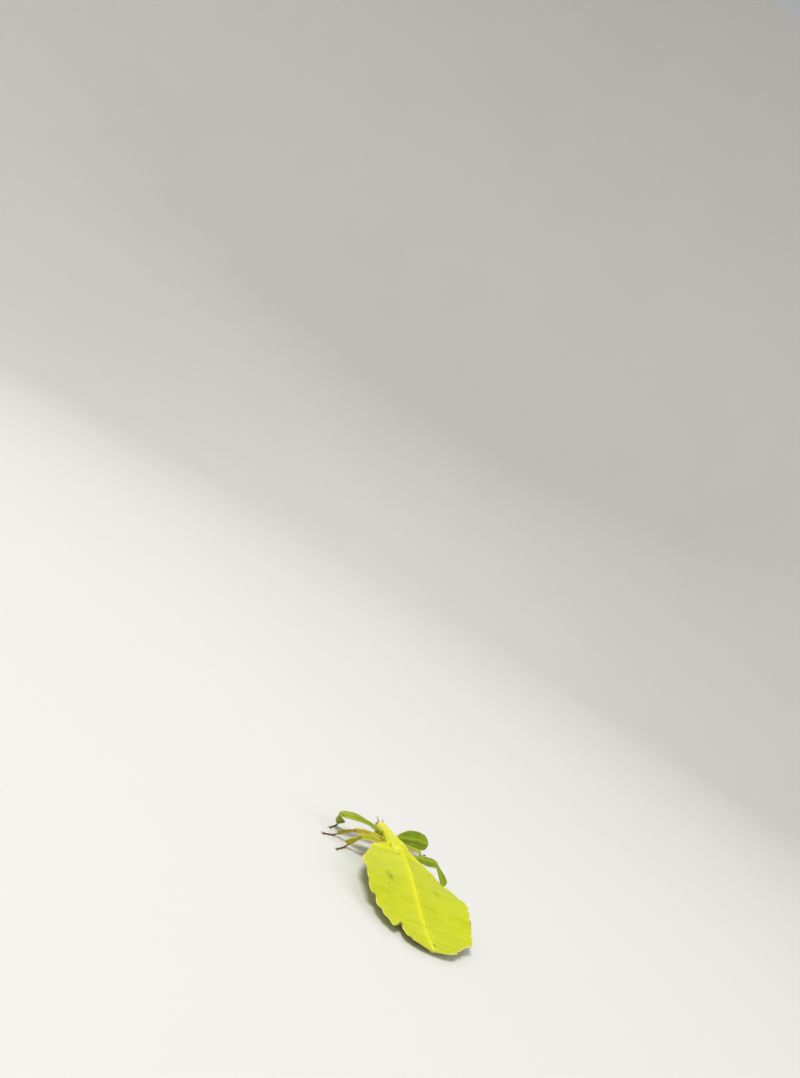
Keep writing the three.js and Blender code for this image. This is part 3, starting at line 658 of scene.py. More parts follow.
def lobed_shell(start, end, spread, bow, outer, inner, shaft, lobes, teeth, tooth_count, stations=76, half=15):
    """A flat-lobed length of leg with a round ribbed shaft down its middle."""
    start, end = np.array(start, float), np.array(end, float)
    reach = end - start
    length = np.linalg.norm(reach)
    ahead = reach / length
    wide = np.array(spread, float)
    wide = unit(wide - ahead * wide.dot(ahead))
    face = np.cross(ahead, wide)
    e = np.linspace(0, 1, stations)
    t = e - 0.06 * np.sin(2 * math.pi * e)
    v, is_top = section_places(half, half)
    T, V = np.meshgrid(t, v, indexing="ij")
    side = np.where(V < 0, -1, 1)
    tip = np.sqrt(np.clip(1 - (1 - np.clip(np.minimum(T, 1 - T) * length / 0.75, 0, 1)) ** 2, 0.0004, 1))
    phase = T * tooth_count + 0.15 * side + 0.5 * np.sin(T * 11 + side) + 0.22 * np.sin(T * 29)
    tooth = saw_tooth(phase, 0.7) * (0.65 + 0.5 * np.sin(T * 17 + 2 * side))
    tooth = tooth * np.where(side > 0, 0.55, 1.0)
    share_out, share_in = along(lobes[0], T), along(lobes[1], T)
    lobe = np.where(side > 0, outer * share_out, inner * share_in)
    strength = np.where(side > 0, smooth(T, 0.35, 0.6), smooth(T, 0.15, 0.3)) * smooth(lobe, 0.3, 1.2)
    width = (shaft * 0.9 + lobe) + (tooth - 0.4) * teeth * strength * (1 - smooth(T, 0.94, 1.0))
    width = width + 0.05 * np.sin(T * 23 + side) * smooth(lobe, 0.3, 1.2)
    width = width * tip
    x = side * width * np.sin(QUARTER_TURN * np.abs(V) ** 1.15)
    rim = width - np.abs(x)
    edge = (0.6 + 0.4 * smooth(rim, 0.1, 1.2)) * rounded(rim, 0.16)
    core = (shaft - 0.25) * bump(x / (shaft * 1.5))
    rib = 0.12 * bell(np.abs(x) - shaft * 0.45, 0.16)
    vein = 0.035 * np.sin((T * length - np.abs(x) * 0.9) * 3.4) * smooth(np.abs(x), shaft, shaft + 0.6)
    thick = (0.23 * edge + (core + rib * (core > 0.02) + vein) * smooth(rim, 0.0, 0.5)) * tip
    warp = 0.16 * np.sin(T * 5.2 + side) * smooth(np.abs(x), shaft, shaft + 1.8)
    lift = np.where(is_top > 0, thick, -thick) + warp * tip
    rings = (
        start + T[..., None] * reach + np.sin(math.pi * T)[..., None] * np.array(bow, float)
        + x[..., None] * wide + lift[..., None] * face
    )
    rings[..., 2] = np.maximum(rings[..., 2], 0.02)
    rim_map = rim + 2.0 * (1 - smooth(lobe, 0.1, 0.6))
    return rings, {"leg_map": np.stack([T * length, x, rim_map], -1)}


def with_leg_map(shell, value=(0, 0, 3.0)):
    rings, _ = shell
    return rings, {"leg_map": np.broadcast_to(np.array(value, float), rings.shape).copy()}


def towards(a, b, distance):
    """The point at a distance from a, in the direction of b."""
    a, b = np.array(a, float), np.array(b, float)
    return a + unit(b - a) * distance


def leg_shells(leg, teeth):
    """The hip, thigh, knee and shin, each with its distance from the knee and the hip as maps."""
    hip, knee, ankle, root = (np.array(leg[k], float) for k in ("hip", "knee", "ankle", "root"))
    socket = [towards(root, hip, -1.2), root + (hip - root) * 0.45, hip]
    shells = [with_leg_map(tube_shell(socket, HIP_RINGS, 28, 26))]
    lobes = (BROADENING_OUTER, BROADENING_INNER) if leg.get("broadens") else (THIGH_OUTER, THIGH_INNER)
    thigh = lobed_shell(
        towards(hip, knee, -0.55), towards(knee, hip, -0.62), leg["spread"], leg["bow"], leg["outer"],
        leg["inner"], THIGH_SHAFT, lobes, teeth, tooth_count=13)
    shin = lobed_shell(
        towards(knee, ankle, -0.15), ankle, leg["shin"], leg["shin_bow"], leg["calf"], 0.2, SHIN_SHAFT,
        (SHIN_LOBE, SHIN_LOBE), teeth * 0.7, stations=60, half=12, tooth_count=15)
    joint = with_leg_map(ball_shell(knee, [0.62, 0.62, 0.62]), (0, 0, 2.0))
    shells += [thigh, shin, joint]
    for rings, maps in shells:
        for name, place, reach in (("knee", knee, 1.1), ("socket", root, 2.6)):
            maps[name] = bell(np.linalg.norm(rings - place, axis=-1), reach)
    return shells


def foot_shells(leg):
    """The five short segments of a foot with its pad, and the two claws."""
    ankle, toe = np.array(leg["ankle"], float), np.array(leg["toe"], float)
    onto = ankle + (toe - ankle) * 0.34
    onto[2] = 0.34
    end = toe.copy()
    end[2] = 0.32
    path = [ankle + [0, 0, 0.1], ankle * 0.55 + onto * 0.45 + [0, 0, -0.08], onto, (onto + end) / 2, end]
    ends = [0.0, 0.34, 0.52, 0.67, 0.79, 1.0]
    radii = []
    for a, b in zip(ends[:-1], ends[1:]):
        radii += [[a + 0.004, 0.25], [a + 0.3 * (b - a), 0.29], [a + 0.8 * (b - a), 0.40], [b - 0.012, 0.37]]
    shells = [tube_shell(path, radii, 24, 90, flat=0.9, floor=True)]
    ahead = unit((end - onto) * [1, 1, 0])
    across = np.array([-ahead[1], ahead[0], 0])
    pad = ball_shell(end + ahead * 0.42 + [0, 0, -0.1], [0.34, 0.26, 0.17], [ahead, across, [0, 0, 1]], 20, 12)
    claws = []
    for side in (-1, 1):
        a = end + across * side * 0.14 + [0, 0, 0.05]
        b = a + ahead * 0.55 + across * side * 0.34 + [0, 0, 0.16]
        c = b + ahead * 0.52 + across * side * 0.12 + [0, 0, -0.2]
        d = c + ahead * 0.10 - across * side * 0.05 + [0, 0, -0.22]
        claws.append(tube_shell([a, b, c, d], CLAW_RINGS, 10, 18, floor=True))
    return shells + [pad], claws


# ---------------------------------------------------------------------------
# Shader groups and materials


def feed(tree, made, inputs):
    """Fills a node's inputs, by name or number, with numbers, colours or other nodes' outputs."""
    for key, value in inputs.items():
        socket = made.inputs[key]
        if isinstance(value, (int, float)):
            socket.default_value = value
        elif isinstance(value, (tuple, list)):
            socket.default_value = (*value[:3], 1.0) if socket.type == "RGBA" else value
        else:
            tree.links.new(value, socket)
    return made


def node(tree, kind, inputs=None, **options):
    made = tree.nodes.new(kind)
    for key, value in options.items():
        setattr(made, key, value)
    return feed(tree, made, inputs or {})


def shader_group(name, inputs, outputs):
    tree = bpy.data.node_groups.new(name, "ShaderNodeTree")
    for kind, sockets in (("INPUT", inputs), ("OUTPUT", outputs)):
        for socket_name, socket_kind, default in sockets:
            made = tree.interface.new_socket(socket_name, in_out=kind, socket_type=socket_kind)
            if default is not None:
                made.default_value = default
    return tree, node(tree, "NodeGroupInput"), node(tree, "NodeGroupOutput")


def maths(tree, operation, *values, clamp=False):
    inputs = dict(enumerate(values))
    return node(tree, "ShaderNodeMath", inputs, operation=operation, use_clamp=clamp).outputs[0]


def times(tree, a, b, clamp=False):
    return maths(tree, "MULTIPLY", a, b, clamp=clamp)


def plus(tree, a, b):
    return maths(tree, "ADD", a, b)


def minus(tree, a, b):
    return maths(tree, "SUBTRACT", a, b)


def ramp(tree, value, low, high, out_low=0.0, out_high=1.0):
    """value from low..high to out_low..out_high, smoothed and held at the ends."""
    inputs = {"Value": value, "From Min": low, "From Max": high, "To Min": out_low, "To Max": out_high}
    return node(tree, "ShaderNodeMapRange", inputs, interpolation_type="SMOOTHSTEP").outputs["Result"]


def blend_colour(tree, factor, a, b):
    """Colour a where factor is 0, colour b where it is 1."""
    return node(tree, "ShaderNodeMix", {0: factor, 6: a, 7: b}, data_type="RGBA").outputs[2]


def noise(tree, vector, scale, detail=3.0, roughness=0.5):
    inputs = {"Vector": vector, "Scale": scale, "Detail": detail, "Roughness": roughness}
    return node(tree, "ShaderNodeTexNoise", inputs).outputs["Fac"]


def clouds(tree, vector, scale, low, high, out_low=0.0, out_high=1.0, detail=3.0):
    """Soft patches of noise, out_low between them and out_high inside them."""
    return ramp(tree, noise(tree, vector, scale, detail), low, high, out_low, out_high)


def cells(tree, vector, scale, feature="F1"):
    """Distance from the cells' points, or with DISTANCE_TO_EDGE from the borders between them."""
    inputs = {"Vector": vector, "Scale": scale}
    return node(tree, "ShaderNodeTexVoronoi", inputs, feature=feature).outputs["Distance"]


def make_mottle_group():
    """Cloudy change from one colour to another, with fine pale dots."""
    tree, start, end = shader_group(
        "cuticle_mottle",
        [("Vector", "NodeSocketVector", None), ("Colour A", "NodeSocketColor", (0.5, 0.6, 0.05, 1)),
         ("Colour B", "NodeSocketColor", (0.4, 0.5, 0.05, 1)), ("Cloud Scale", "NodeSocketFloat", 90.0),
         ("Dot Scale", "NodeSocketFloat", 1900.0), ("Dots", "NodeSocketFloat", 0.12)],
        [("Colour", "NodeSocketColor", None), ("Height", "NodeSocketFloat", None),
         ("Cloud", "NodeSocketFloat", None)])
    given = start.outputs
    cloud = clouds(tree, given["Vector"], given["Cloud Scale"], 0.36, 0.64)
    colour = blend_colour(tree, cloud, given["Colour A"], given["Colour B"])
    dot = ramp(tree, cells(tree, given["Vector"], given["Dot Scale"]), 0.18, 0.52, 1.0, 0.0)
    pale = blend_colour(tree, times(tree, dot, given["Dots"]), colour, (0.95, 0.95, 0.5))
    feed(tree, end, {"Colour": pale, "Height": dot, "Cloud": cloud})
    return tree


def make_rim_group():
    """Pale rim and brown marks where the distance to the margin, in mm, is small."""
    tree, start, end = shader_group(
        "leaf_rim",
        [("Base", "NodeSocketColor", (0.5, 0.6, 0.05, 1)), ("Distance", "NodeSocketFloat", 1.0),
         ("Vector", "NodeSocketVector", None), ("Rim Colour", "NodeSocketColor", (0.8, 0.75, 0.4, 1)),
         ("Mark Colour", "NodeSocketColor", (0.2, 0.1, 0.03, 1)), ("Rim Width", "NodeSocketFloat", 0.4),
         ("Mark Scale", "NodeSocketFloat", 150.0), ("Mark Amount", "NodeSocketFloat", 0.5)],
        [("Colour", "NodeSocketColor", None), ("Rim", "NodeSocketFloat", None)])
    given = start.outputs
    far = maths(tree, "DIVIDE", given["Distance"], given["Rim Width"])
    wander = noise(tree, given["Vector"], 700.0, 2.0)
    far = plus(tree, far, maths(tree, "MULTIPLY_ADD", wander, 2.4, -1.2))
    rim = ramp(tree, far, 0.75, 1.35, 1.0, 0.0)
    colour = blend_colour(tree, rim, given["Base"], given["Rim Colour"])
    patch = clouds(tree, given["Vector"], given["Mark Scale"], 0.56, 0.66, detail=2.0)
    near = ramp(tree, far, 0.9, 2.4, 1.0, 0.0)
    mark = times(tree, times(tree, patch, near), given["Mark Amount"], clamp=True)
    marked = blend_colour(tree, mark, colour, given["Mark Colour"])
    feed(tree, end, {"Colour": marked, "Rim": rim})
    return tree


def place_group(tree, group, **values):
    inputs = {key.replace("_", " "): value for key, value in values.items()}
    return node(tree, "ShaderNodeGroup", inputs, node_tree=group)


def new_material(name, roughness=0.5, specular=0.5, subsurface=0.0, coat=0.0):
    material = bpy.data.materials.new(name)
    material.use_nodes = True
    tree = material.node_tree
    shader = tree.nodes["Principled BSDF"]
    inputs = {"Roughness": roughness, "Specular IOR Level": specular}
    if subsurface:
        inputs["Subsurface Weight"] = subsurface
        inputs["Subsurface Radius"] = (0.9, 1.0, 0.25)
        inputs["Subsurface Scale"] = 0.0012
    if coat:
        inputs["Coat Weight"] = coat
        inputs["Coat Roughness"] = 0.25
    feed(tree, shader, inputs)
    coordinates = node(tree, "ShaderNodeTexCoord").outputs["Object"]
    return material, tree, shader, coordinates


def coat_shader(tree, shader, colour, height, depth, strength, roughness=None):
    """Gives the shader its colour and its fine relief, with the relief's depth in metres."""
    relief = node(tree, "ShaderNodeBump", {"Strength": strength, "Distance": depth, "Height": height})
    feed(tree, shader, {"Base Color": colour, "Normal": relief.outputs["Normal"]})
    if roughness is not None:
        feed(tree, shader, {"Roughness": roughness})


def attribute(tree, name):
    return node(tree, "ShaderNodeAttribute", attribute_type="GEOMETRY", attribute_name=name).outputs


def map_numbers(tree, name):
    """The three numbers of a map on the skin's points."""
    return node(tree, "ShaderNodeSeparateXYZ", {0: attribute(tree, name)["Vector"]}).outputs


def spot(tree, x, s, at_x, at_s, radius_x, radius_s, soft=0.5):
    """1 inside an oval spot of the back, in mm across and along, 0 outside."""
    dx = maths(tree, "DIVIDE", minus(tree, x, at_x), radius_x)
    ds = maths(tree, "DIVIDE", minus(tree, s, at_s), radius_s)
    far = maths(tree, "SQRT", plus(tree, times(tree, dx, dx), times(tree, ds, ds)))
    return ramp(tree, far, 1.0 - soft, 1.0 + soft, 1.0, 0.0)


def body_material(settings, mottle, rim_group):
    """Yellow-green cuticle with all marks of the back and some painted shade, placed by stations and distances
    across.
    """
    material, tree, shader, place = new_material("leaf_cuticle", 0.48, 0.18, 0.12, 0.0)
    x, s, rim = map_numbers(tree, "body_map")
    out = maths(tree, "ABSOLUTE", x)
    leaf, green, yellow = settings.leaf_colour[:], settings.green_colour[:], settings.yellow_colour[:]
    base = place_group(tree, mottle, Vector=place, Colour_A=leaf, Colour_B=[a * 0.93 for a in leaf],
                       Cloud_Scale=140.0, Dot_Scale=2300.0, Dots=0.05)
    # greener towards the front of the leaf and away from the midrib
    cloud = clouds(tree, place, 42.0, 0.3, 0.7, detail=2.0)
    ahead = ramp(tree, s, 27.0, 50.0, 1.0, 0.35)
    aside = ramp(tree, out, 1.5, 8.0)
    greener = times(tree, times(tree, cloud, ahead), aside)
    colour = blend_colour(tree, times(tree, greener, 0.62), base.outputs["Colour"], green)
    # fine green marbling
    marble = ramp(tree, noise(tree, place, 620.0, 4.0, 0.62), 0.50, 0.66)
    colour = blend_colour(tree, times(tree, marble, 0.30), colour, green)
    # yellow over the midrib, the thorax and the head
    rib = plus(tree, ramp(tree, out, 0.35, 1.05, 0.75, 0.0), ramp(tree, out, 1.0, 3.2, 0.25, 0.0))
    trunk = ramp(tree, s, 25.5, 31.0, 0.85, 0.0)
    bright = maths(tree, "MAXIMUM", rib, trunk)
    bright = times(tree, bright, clouds(tree, place, 520.0, 0.28, 0.62, 0.55, 1.0))
    colour = blend_colour(tree, bright, colour, yellow)
    # faint branching veins across the lobes
    vein = ramp(tree, cells(tree, place, 430.0, "DISTANCE_TO_EDGE"), 0.0, 0.09, 1.0, 0.0)
    colour = blend_colour(tree, times(tree, vein, 0.06), colour, (0.78, 0.80, 0.16))
    # dark lines between the segments, partly their own dark joints and partly painted shade in the grooves,
    # strongest next to the midrib
    seam = attribute(tree, "seam")["Fac"]
    line = times(tree, ramp(tree, seam, 0.05, 0.5, 1.0, 0.0), ramp(tree, out, 1.5, 6.0, 0.24, 0.08))
    line = times(tree, line, clouds(tree, place, 260.0, 0.34, 0.6, 0.2, 1.0, detail=2.0))
    colour = blend_colour(tree, line, colour, [c * 0.62 for c in green])
    # olive spots and small dark specks; four of the spots are painted shade, behind the wing buds' tips and
    # beside the midrib's ridge
    for at_x, at_s, rx, rs, depth in SPOTS_AND_PAINTED_SHADE:
        dark = times(tree, spot(tree, x, s, at_x, at_s, rx, rs), depth)
        colour = blend_colour(tree, dark, colour, (0.17, 0.19, 0.01))
    speck = times(tree, ramp(tree, cells(tree, place, 165.0), 0.035, 0.075, 1.0, 0.0), 0.5)
    colour = blend_colour(tree, speck, colour, (0.20, 0.22, 0.03))
    # the head is paler, the thorax greener at its sides, with brown lines where its rings meet
    pale_head = ramp(tree, s, 8.5, 12.0, 0.7, 0.0)
    pale_head = times(tree, pale_head, clouds(tree, place, 600.0, 0.3, 0.6))
    colour = blend_colour(tree, pale_head, colour, (0.80, 0.74, 0.14))
    sides = times(tree, ramp(tree, out, 1.6, 4.2, 0.0, 0.55), ramp(tree, s, 22.0, 27.0, 1.0, 0.0))
    patchy = times(tree, sides, clouds(tree, place, 380.0, 0.35, 0.6))
    colour = blend_colour(tree, patchy, colour, green)
    for station, depth in RING_LINES:
        ring = ramp(tree, maths(tree, "ABSOLUTE", minus(tree, s, station)), 0.1, 0.75, depth, 0.0)
        ring = times(tree, ring, clouds(tree, place, 420.0, 0.38, 0.62))
        colour = blend_colour(tree, ring, colour, (0.30, 0.17, 0.03))
    edged = place_group(tree, rim_group, Base=colour, Distance=rim, Vector=place,
                        Rim_Colour=settings.rim_colour[:], Mark_Colour=settings.mark_colour[:],
                        Rim_Width=settings.rim_width / MM, Mark_Scale=190.0, Mark_Amount=0.45)
    worn = edged.outputs["Colour"]
    for at_x, at_s, radius in MARGIN_SCARS:
        brown = times(tree, spot(tree, x, s, at_x, at_s, radius, radius, 0.6), 0.75)
        worn = blend_colour(tree, brown, worn, settings.mark_colour[:])
    # the underside is paler and greener
    under = blend_colour(tree, 0.55, worn, (0.44, 0.54, 0.07))
    final = blend_colour(tree, attribute(tree, "above")["Fac"], under, worn)
    rough = clouds(tree, place, 900.0, 0.3, 0.7, 0.38, 0.56)
    grain = noise(tree, place, 3200.0, 2.0)
    height = plus(tree, times(tree, base.outputs["Height"], 0.45),
                  plus(tree, times(tree, grain, 0.5), times(tree, vein, 0.22)))
    coat_shader(tree, shader, final, height, 0.00006, 0.7, rough)
    return material


def leg_material(name, settings, colour, mottle, rim_group, ochre=0.0):
    """A leg's colour with a yellower shaft, pale rims, an ochre socket and dark spots at the knee."""
    material, tree, shader, place = new_material(name, 0.46, 0.2, 0.08, 0.02)
    _, x, rim = map_numbers(tree, "leg_map")
    base = place_group(tree, mottle, Vector=place, Colour_A=colour, Colour_B=[c * 0.78 for c in colour],
                       Cloud_Scale=260.0, Dot_Scale=2600.0, Dots=0.05)
    out = maths(tree, "ABSOLUTE", x)
    shaft = times(tree, ramp(tree, out, 0.35, 1.1, 1.0, 0.0), 0.30)
    tone = blend_colour(tree, shaft, base.outputs["Colour"], (0.50, 0.55, 0.03))
    if ochre:
        patch = times(tree, clouds(tree, place, 210.0, 0.42, 0.62, detail=2.0), ochre)
        tone = blend_colour(tree, patch, tone, (0.42, 0.24, 0.045))
    edged = place_group(tree, rim_group, Base=tone, Distance=rim, Vector=place,
                        Rim_Colour=settings.rim_colour[:], Mark_Colour=(0.22, 0.10, 0.03),
                        Rim_Width=0.22, Mark_Scale=240.0, Mark_Amount=0.65)
    socket = times(tree, attribute(tree, "socket")["Fac"],
                   clouds(tree, place, 420.0, 0.38, 0.62, 0.35, 0.85, detail=2.0))
    tone = blend_colour(tree, socket, edged.outputs["Colour"], (0.52, 0.40, 0.03))
    spots = times(tree, attribute(tree, "knee")["Fac"], clouds(tree, place, 900.0, 0.42, 0.56, detail=2.0))
    dark = blend_colour(tree, times(tree, spots, 0.8), tone, (0.11, 0.05, 0.02))
    rough = clouds(tree, place, 1100.0, 0.3, 0.7, 0.36, 0.55)
    height = plus(tree, times(tree, base.outputs["Height"], 0.5), noise(tree, place, 3600.0, 2.0))
    coat_shader(tree, shader, dark, height, 0.00005, 0.7, rough)
    return material


def simple_cuticle(name, colours, scale, mottle, roughness=0.42, bump_mm=0.04, coat=0.1, dots=0.06):
    """Mottled cuticle of two colours, for small parts."""
    material, tree, shader, place = new_material(name, roughness, 0.5, 0.0, coat)
    base = place_group(tree, mottle, Vector=place, Colour_A=colours[0], Colour_B=colours[1],
                       Cloud_Scale=scale, Dot_Scale=3000.0, Dots=dots)
    rough = ramp(tree, base.outputs["Cloud"], 0, 1, roughness - 0.06, roughness + 0.08)
    height = plus(tree, base.outputs["Height"], noise(tree, place, 4200.0, 2.0))
    coat_shader(tree, shader, base.outputs["Colour"], height, bump_mm * MM, 0.6, rough)
    return material


def feeler_material(mottle):
    """Orange-brown at the root and between the beads, pale at the tip."""
    material, tree, shader, place = new_material("feeler_cuticle", 0.42, 0.5, 0.0, 0.1)
    base = place_group(tree, mottle, Vector=place, Colour_A=(0.58, 0.27, 0.08), Colour_B=(0.44, 0.17, 0.055),
                       Cloud_Scale=900.0, Dot_Scale=4000.0, Dots=0.08)
    share = map_numbers(tree, "limb_map")[0]
    tip = ramp(tree, share, 0.55, 0.95, 0.0, 0.75)
    colour = blend_colour(tree, tip, base.outputs["Colour"], (0.62, 0.50, 0.36))
    root = ramp(tree, share, 0.0, 0.22, 0.8, 0.0)
    colour = blend_colour(tree, root, colour, (0.56, 0.50, 0.09))
    coat_shader(tree, shader, colour, base.outputs["Height"], 0.00003, 0.6)
    return material


def eye_material():
    """Olive compound eye with a fine net of facets and a few darker bands."""
    material, tree, shader, place = new_material("eye_facets", 0.16, 0.6, 0.0, 0.6)
    net = ramp(tree, cells(tree, place, 11000.0, "DISTANCE_TO_EDGE"), 0.02, 0.14)
    bands = node(tree, "ShaderNodeTexWave", {"Vector": place, "Scale": 520.0, "Distortion": 2.0},
                 wave_type="BANDS", bands_direction="Z")
    band = ramp(tree, bands.outputs["Fac"], 0.35, 0.75)
    colour = blend_colour(tree, band, (0.50, 0.43, 0.12), (0.27, 0.20, 0.06))
    colour = blend_colour(tree, net, (0.12, 0.09, 0.03), colour)
    coat_shader(tree, shader, colour, net, 0.00002, 0.5)
    return material


# ---------------------------------------------------------------------------
# Geometry Nodes: grains and hairs scattered over a skin


def scatter_tree(name, upright):
    """Scatters a small shape over the faces of a skin. Ends in Realize Instances and Set Material."""
    tree = bpy.data.node_groups.new(name, "GeometryNodeTree")
    face = tree.interface
    face.new_socket("Geometry", in_out="INPUT", socket_type="NodeSocketGeometry")
    for label, kind in (("Density", "NodeSocketFloat"), ("Size", "NodeSocketFloat"), ("Seed", "NodeSocketInt"),
                        ("Weight", "NodeSocketString"), ("Material", "NodeSocketMaterial")):
        face.new_socket(label, in_out="INPUT", socket_type=kind)
    face.new_socket("Geometry", in_out="OUTPUT", socket_type="NodeSocketGeometry")
    start, end = node(tree, "NodeGroupInput"), node(tree, "NodeGroupOutput")
    given = start.outputs
    weight = node(tree, "GeometryNodeInputNamedAttribute", {"Name": given["Weight"]}, data_type="FLOAT")
    density = times(tree, given["Density"], weight.outputs["Attribute"])
    spread = {"Mesh": given["Geometry"], "Density": density, "Seed": given["Seed"]}
    points = node(tree, "GeometryNodeDistributePointsOnFaces", spread, distribute_method="RANDOM").outputs
    rotation = points["Rotation"]
    if upright:
        sizes = {"Vertices": 4, "Side Segments": 2, "Radius Top": 0.004, "Radius Bottom": 0.055, "Depth": 1.0}
        shape = node(tree, "GeometryNodeMeshCone", sizes, fill_type="NGON")
        leans = {0: (-0.7, -0.7, 0.0), 1: (0.7, 0.7, 6.28), "Seed": given["Seed"]}
        lean = node(tree, "FunctionNodeRandomValue", leans, data_type="FLOAT_VECTOR")
        euler = node(tree, "FunctionNodeEulerToRotation", {0: lean.outputs[0]})
        turned = node(tree, "FunctionNodeRotateRotation", {0: rotation, 1: euler.outputs[0]},
                      rotation_space="LOCAL")
        rotation = turned.outputs[0]
    else:
        shape = node(tree, "GeometryNodeMeshIcoSphere", {"Radius": 1.0, "Subdivisions": 2})
    size = node(tree, "FunctionNodeRandomValue", {2: 0.55, 3: 1.25, "Seed": given["Seed"]}, data_type="FLOAT")
    scale = times(tree, size.outputs[1], given["Size"])
    placed = {"Points": points["Points"], "Instance": shape.outputs["Mesh"], "Rotation": rotation,
              "Scale": scale}
    made = node(tree, "GeometryNodeInstanceOnPoints", placed)
    real = node(tree, "GeometryNodeRealizeInstances", {"Geometry": made.outputs["Instances"]})
    shade = node(tree, "GeometryNodeSetShadeSmooth", {0: real.outputs["Geometry"]})
    dressed = {"Geometry": shade.outputs[0], "Material": given["Material"]}
    feed(tree, end, {0: node(tree, "GeometryNodeSetMaterial", dressed).outputs["Geometry"]})
    return tree


def scattered(name, skin, tree, material, **values):
    """The scattered shapes of one skin as a plain mesh of their own."""
    carrier = skin.copy()
    carrier.data = skin.data.copy()
    carrier.parent = None
    bpy.context.scene.collection.objects.link(carrier)
    modifier = carrier.modifiers.new("scatter", "NODES")
    modifier.node_group = tree
    values["Material"] = material
    for item in tree.interface.items_tree:
        if item.item_type == "SOCKET" and item.in_out == "INPUT" and item.name in values:
            modifier[item.identifier] = values[item.name]
    bpy.context.view_layer.update()
    evaluated = carrier.evaluated_get(bpy.context.evaluated_depsgraph_get())
    mesh = bpy.data.meshes.new_from_object(evaluated)
    mesh.name = name
    if not mesh.materials:
        mesh.materials.append(material)
    bpy.data.objects.remove(carrier)
    made = bpy.data.objects.new(name, mesh)
    bpy.context.scene.collection.objects.link(made)
    return made


# ---------------------------------------------------------------------------
# Operators

GROUPS = {}  # shader groups that several materials share
SKINS = {}  # skins that carry grains or hairs


def shared(name, maker):
    """A shader group that is made at its first use."""
    if name not in GROUPS:
        GROUPS[name] = maker()
    return GROUPS[name]


class BuildBody(bpy.types.Operator):
    """Builds the skin of the head, thorax and abdomen"""

    bl_idname = "leaf_insect.body"
    bl_label = "Body"

    def execute(self, context):
        settings = context.scene.leaf_body
        material = body_material(settings, shared("mottle", make_mottle_group), shared("rim", make_rim_group))
        skin = mesh_object("body_skin", [body_shell(settings)], material)
        covered = [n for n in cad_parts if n.startswith("abdomen")]
        finish_piece(skin, "leaf", "head", "prothorax", "mesothorax", "metathorax", *covered)
        SKINS["body"] = skin
        return {"FINISHED"}


class BuildWingBuds(bpy.types.Operator):
    """Builds the two wing buds on the hind part of the thorax"""

    bl_idname = "leaf_insect.wing_buds"
    bl_label = "Wing buds"

    def execute(self, context):
        material = simple_cuticle("bud_cuticle", [(0.80, 0.79, 0.03), (0.62, 0.68, 0.015)], 420.0,
                                  shared("mottle", make_mottle_group), 0.46, 0.05, 0.03)
        for side, word in ((-1, "left"), (1, "right")):
            front = bud_shell(side, 16.8, 8.0, 3.1, 3.3, 1.15, 0.0)
            rear = bud_shell(side, 20.0, 11.0, 2.6, 1.9, 1.8, 0.04)
            bud = mesh_object(f"wing_bud_{word}", [front, rear], material)
            finish_piece(bud, "thorax", f"wing_pad_{word}")
        return {"FINISHED"}


class BuildHead(bpy.types.Operator):
    """Builds the eyes, feelers and mouthparts"""

    bl_idname = "leaf_insect.head"
    bl_label = "Eyes, feelers and mouth"

    def execute(self, context):
        mottle = shared("mottle", make_mottle_group)
        eye = eye_material()
        feeler = feeler_material(mottle)
        ochres = [(0.58, 0.56, 0.12), (0.40, 0.34, 0.08)]
        mouth = simple_cuticle("mouth_cuticle", ochres, 500.0, mottle, 0.42, 0.03)
        for side, word in ((-1, "left"), (1, "right")):
            centre = head_point(side * EYE["out"], EYE["ahead"], EYE["above"])
            r = EYE["radius"]
            lens = mesh_object(f"eye_lens_{word}", [ball_shell(centre, [r * 0.85, r, r], None, 48, 34)], eye)
            finish_piece(lens, "eye", f"eye_{word}")
            path = [towards(FEELERS[word][0], FEELERS[word][1], -0.7)] + FEELERS[word]
            reach = sum(np.linalg.norm(np.subtract(q, p)) for p, q in zip(path[:-1], path[1:]))
            count = int((reach - FEELER_ROOT) / FEELER_BEAD_PITCH)
            pitch = (reach - FEELER_ROOT) / count
            beads = list(FEELER_ROOT_RINGS)
            for k in range(count):
                thin = 1 - 0.35 * k / count
                beads += [[FEELER_ROOT + (k + q) * pitch, r * thin] for q, r in FEELER_BEAD]
            beads = [[a / reach, r * FEELER_STOUTNESS] for a, r in beads] + [[1.0, 0.05]]
            horn = mesh_object(f"feeler_{word}", [tube_shell(path, beads, 20, 150)], feeler)
            finish_piece(horn, "feeler", f"antenna_{word}")
            SKINS[f"feeler_{word}"] = horn
            points = [head_point(side * x, y, z) for x, y, z in MOUTH_FEELER_PATH]
            palp = mesh_object(f"mouth_feeler_{word}", [tube_shell(points, MOUTH_FEELER_RINGS, 16, 60)], mouth)
            finish_piece(palp, "thorax", f"palp_{word}")
        face = ball_shell(head_point(0, 2.35, -1.25), [1.25, 0.78, 0.62], None, 28, 18)
        lip = ball_shell(head_point(0, 2.55, -2.15), [1.0, 0.62, 0.62], None, 28, 18)
        jaws = [ball_shell(head_point(side * 0.68, 2.15, -2.6), [0.6, 0.6, 0.62], None, 20, 14)
                for side in (-1, 1)]
        chin = ball_shell(head_point(0, 1.5, -2.45), [1.1, 0.9, 0.45], None, 24, 14)
        piece = mesh_object("mouth", [face, lip, *jaws, chin], mouth)
        finish_piece(piece, "thorax", "mouthparts")
        return {"FINISHED"}


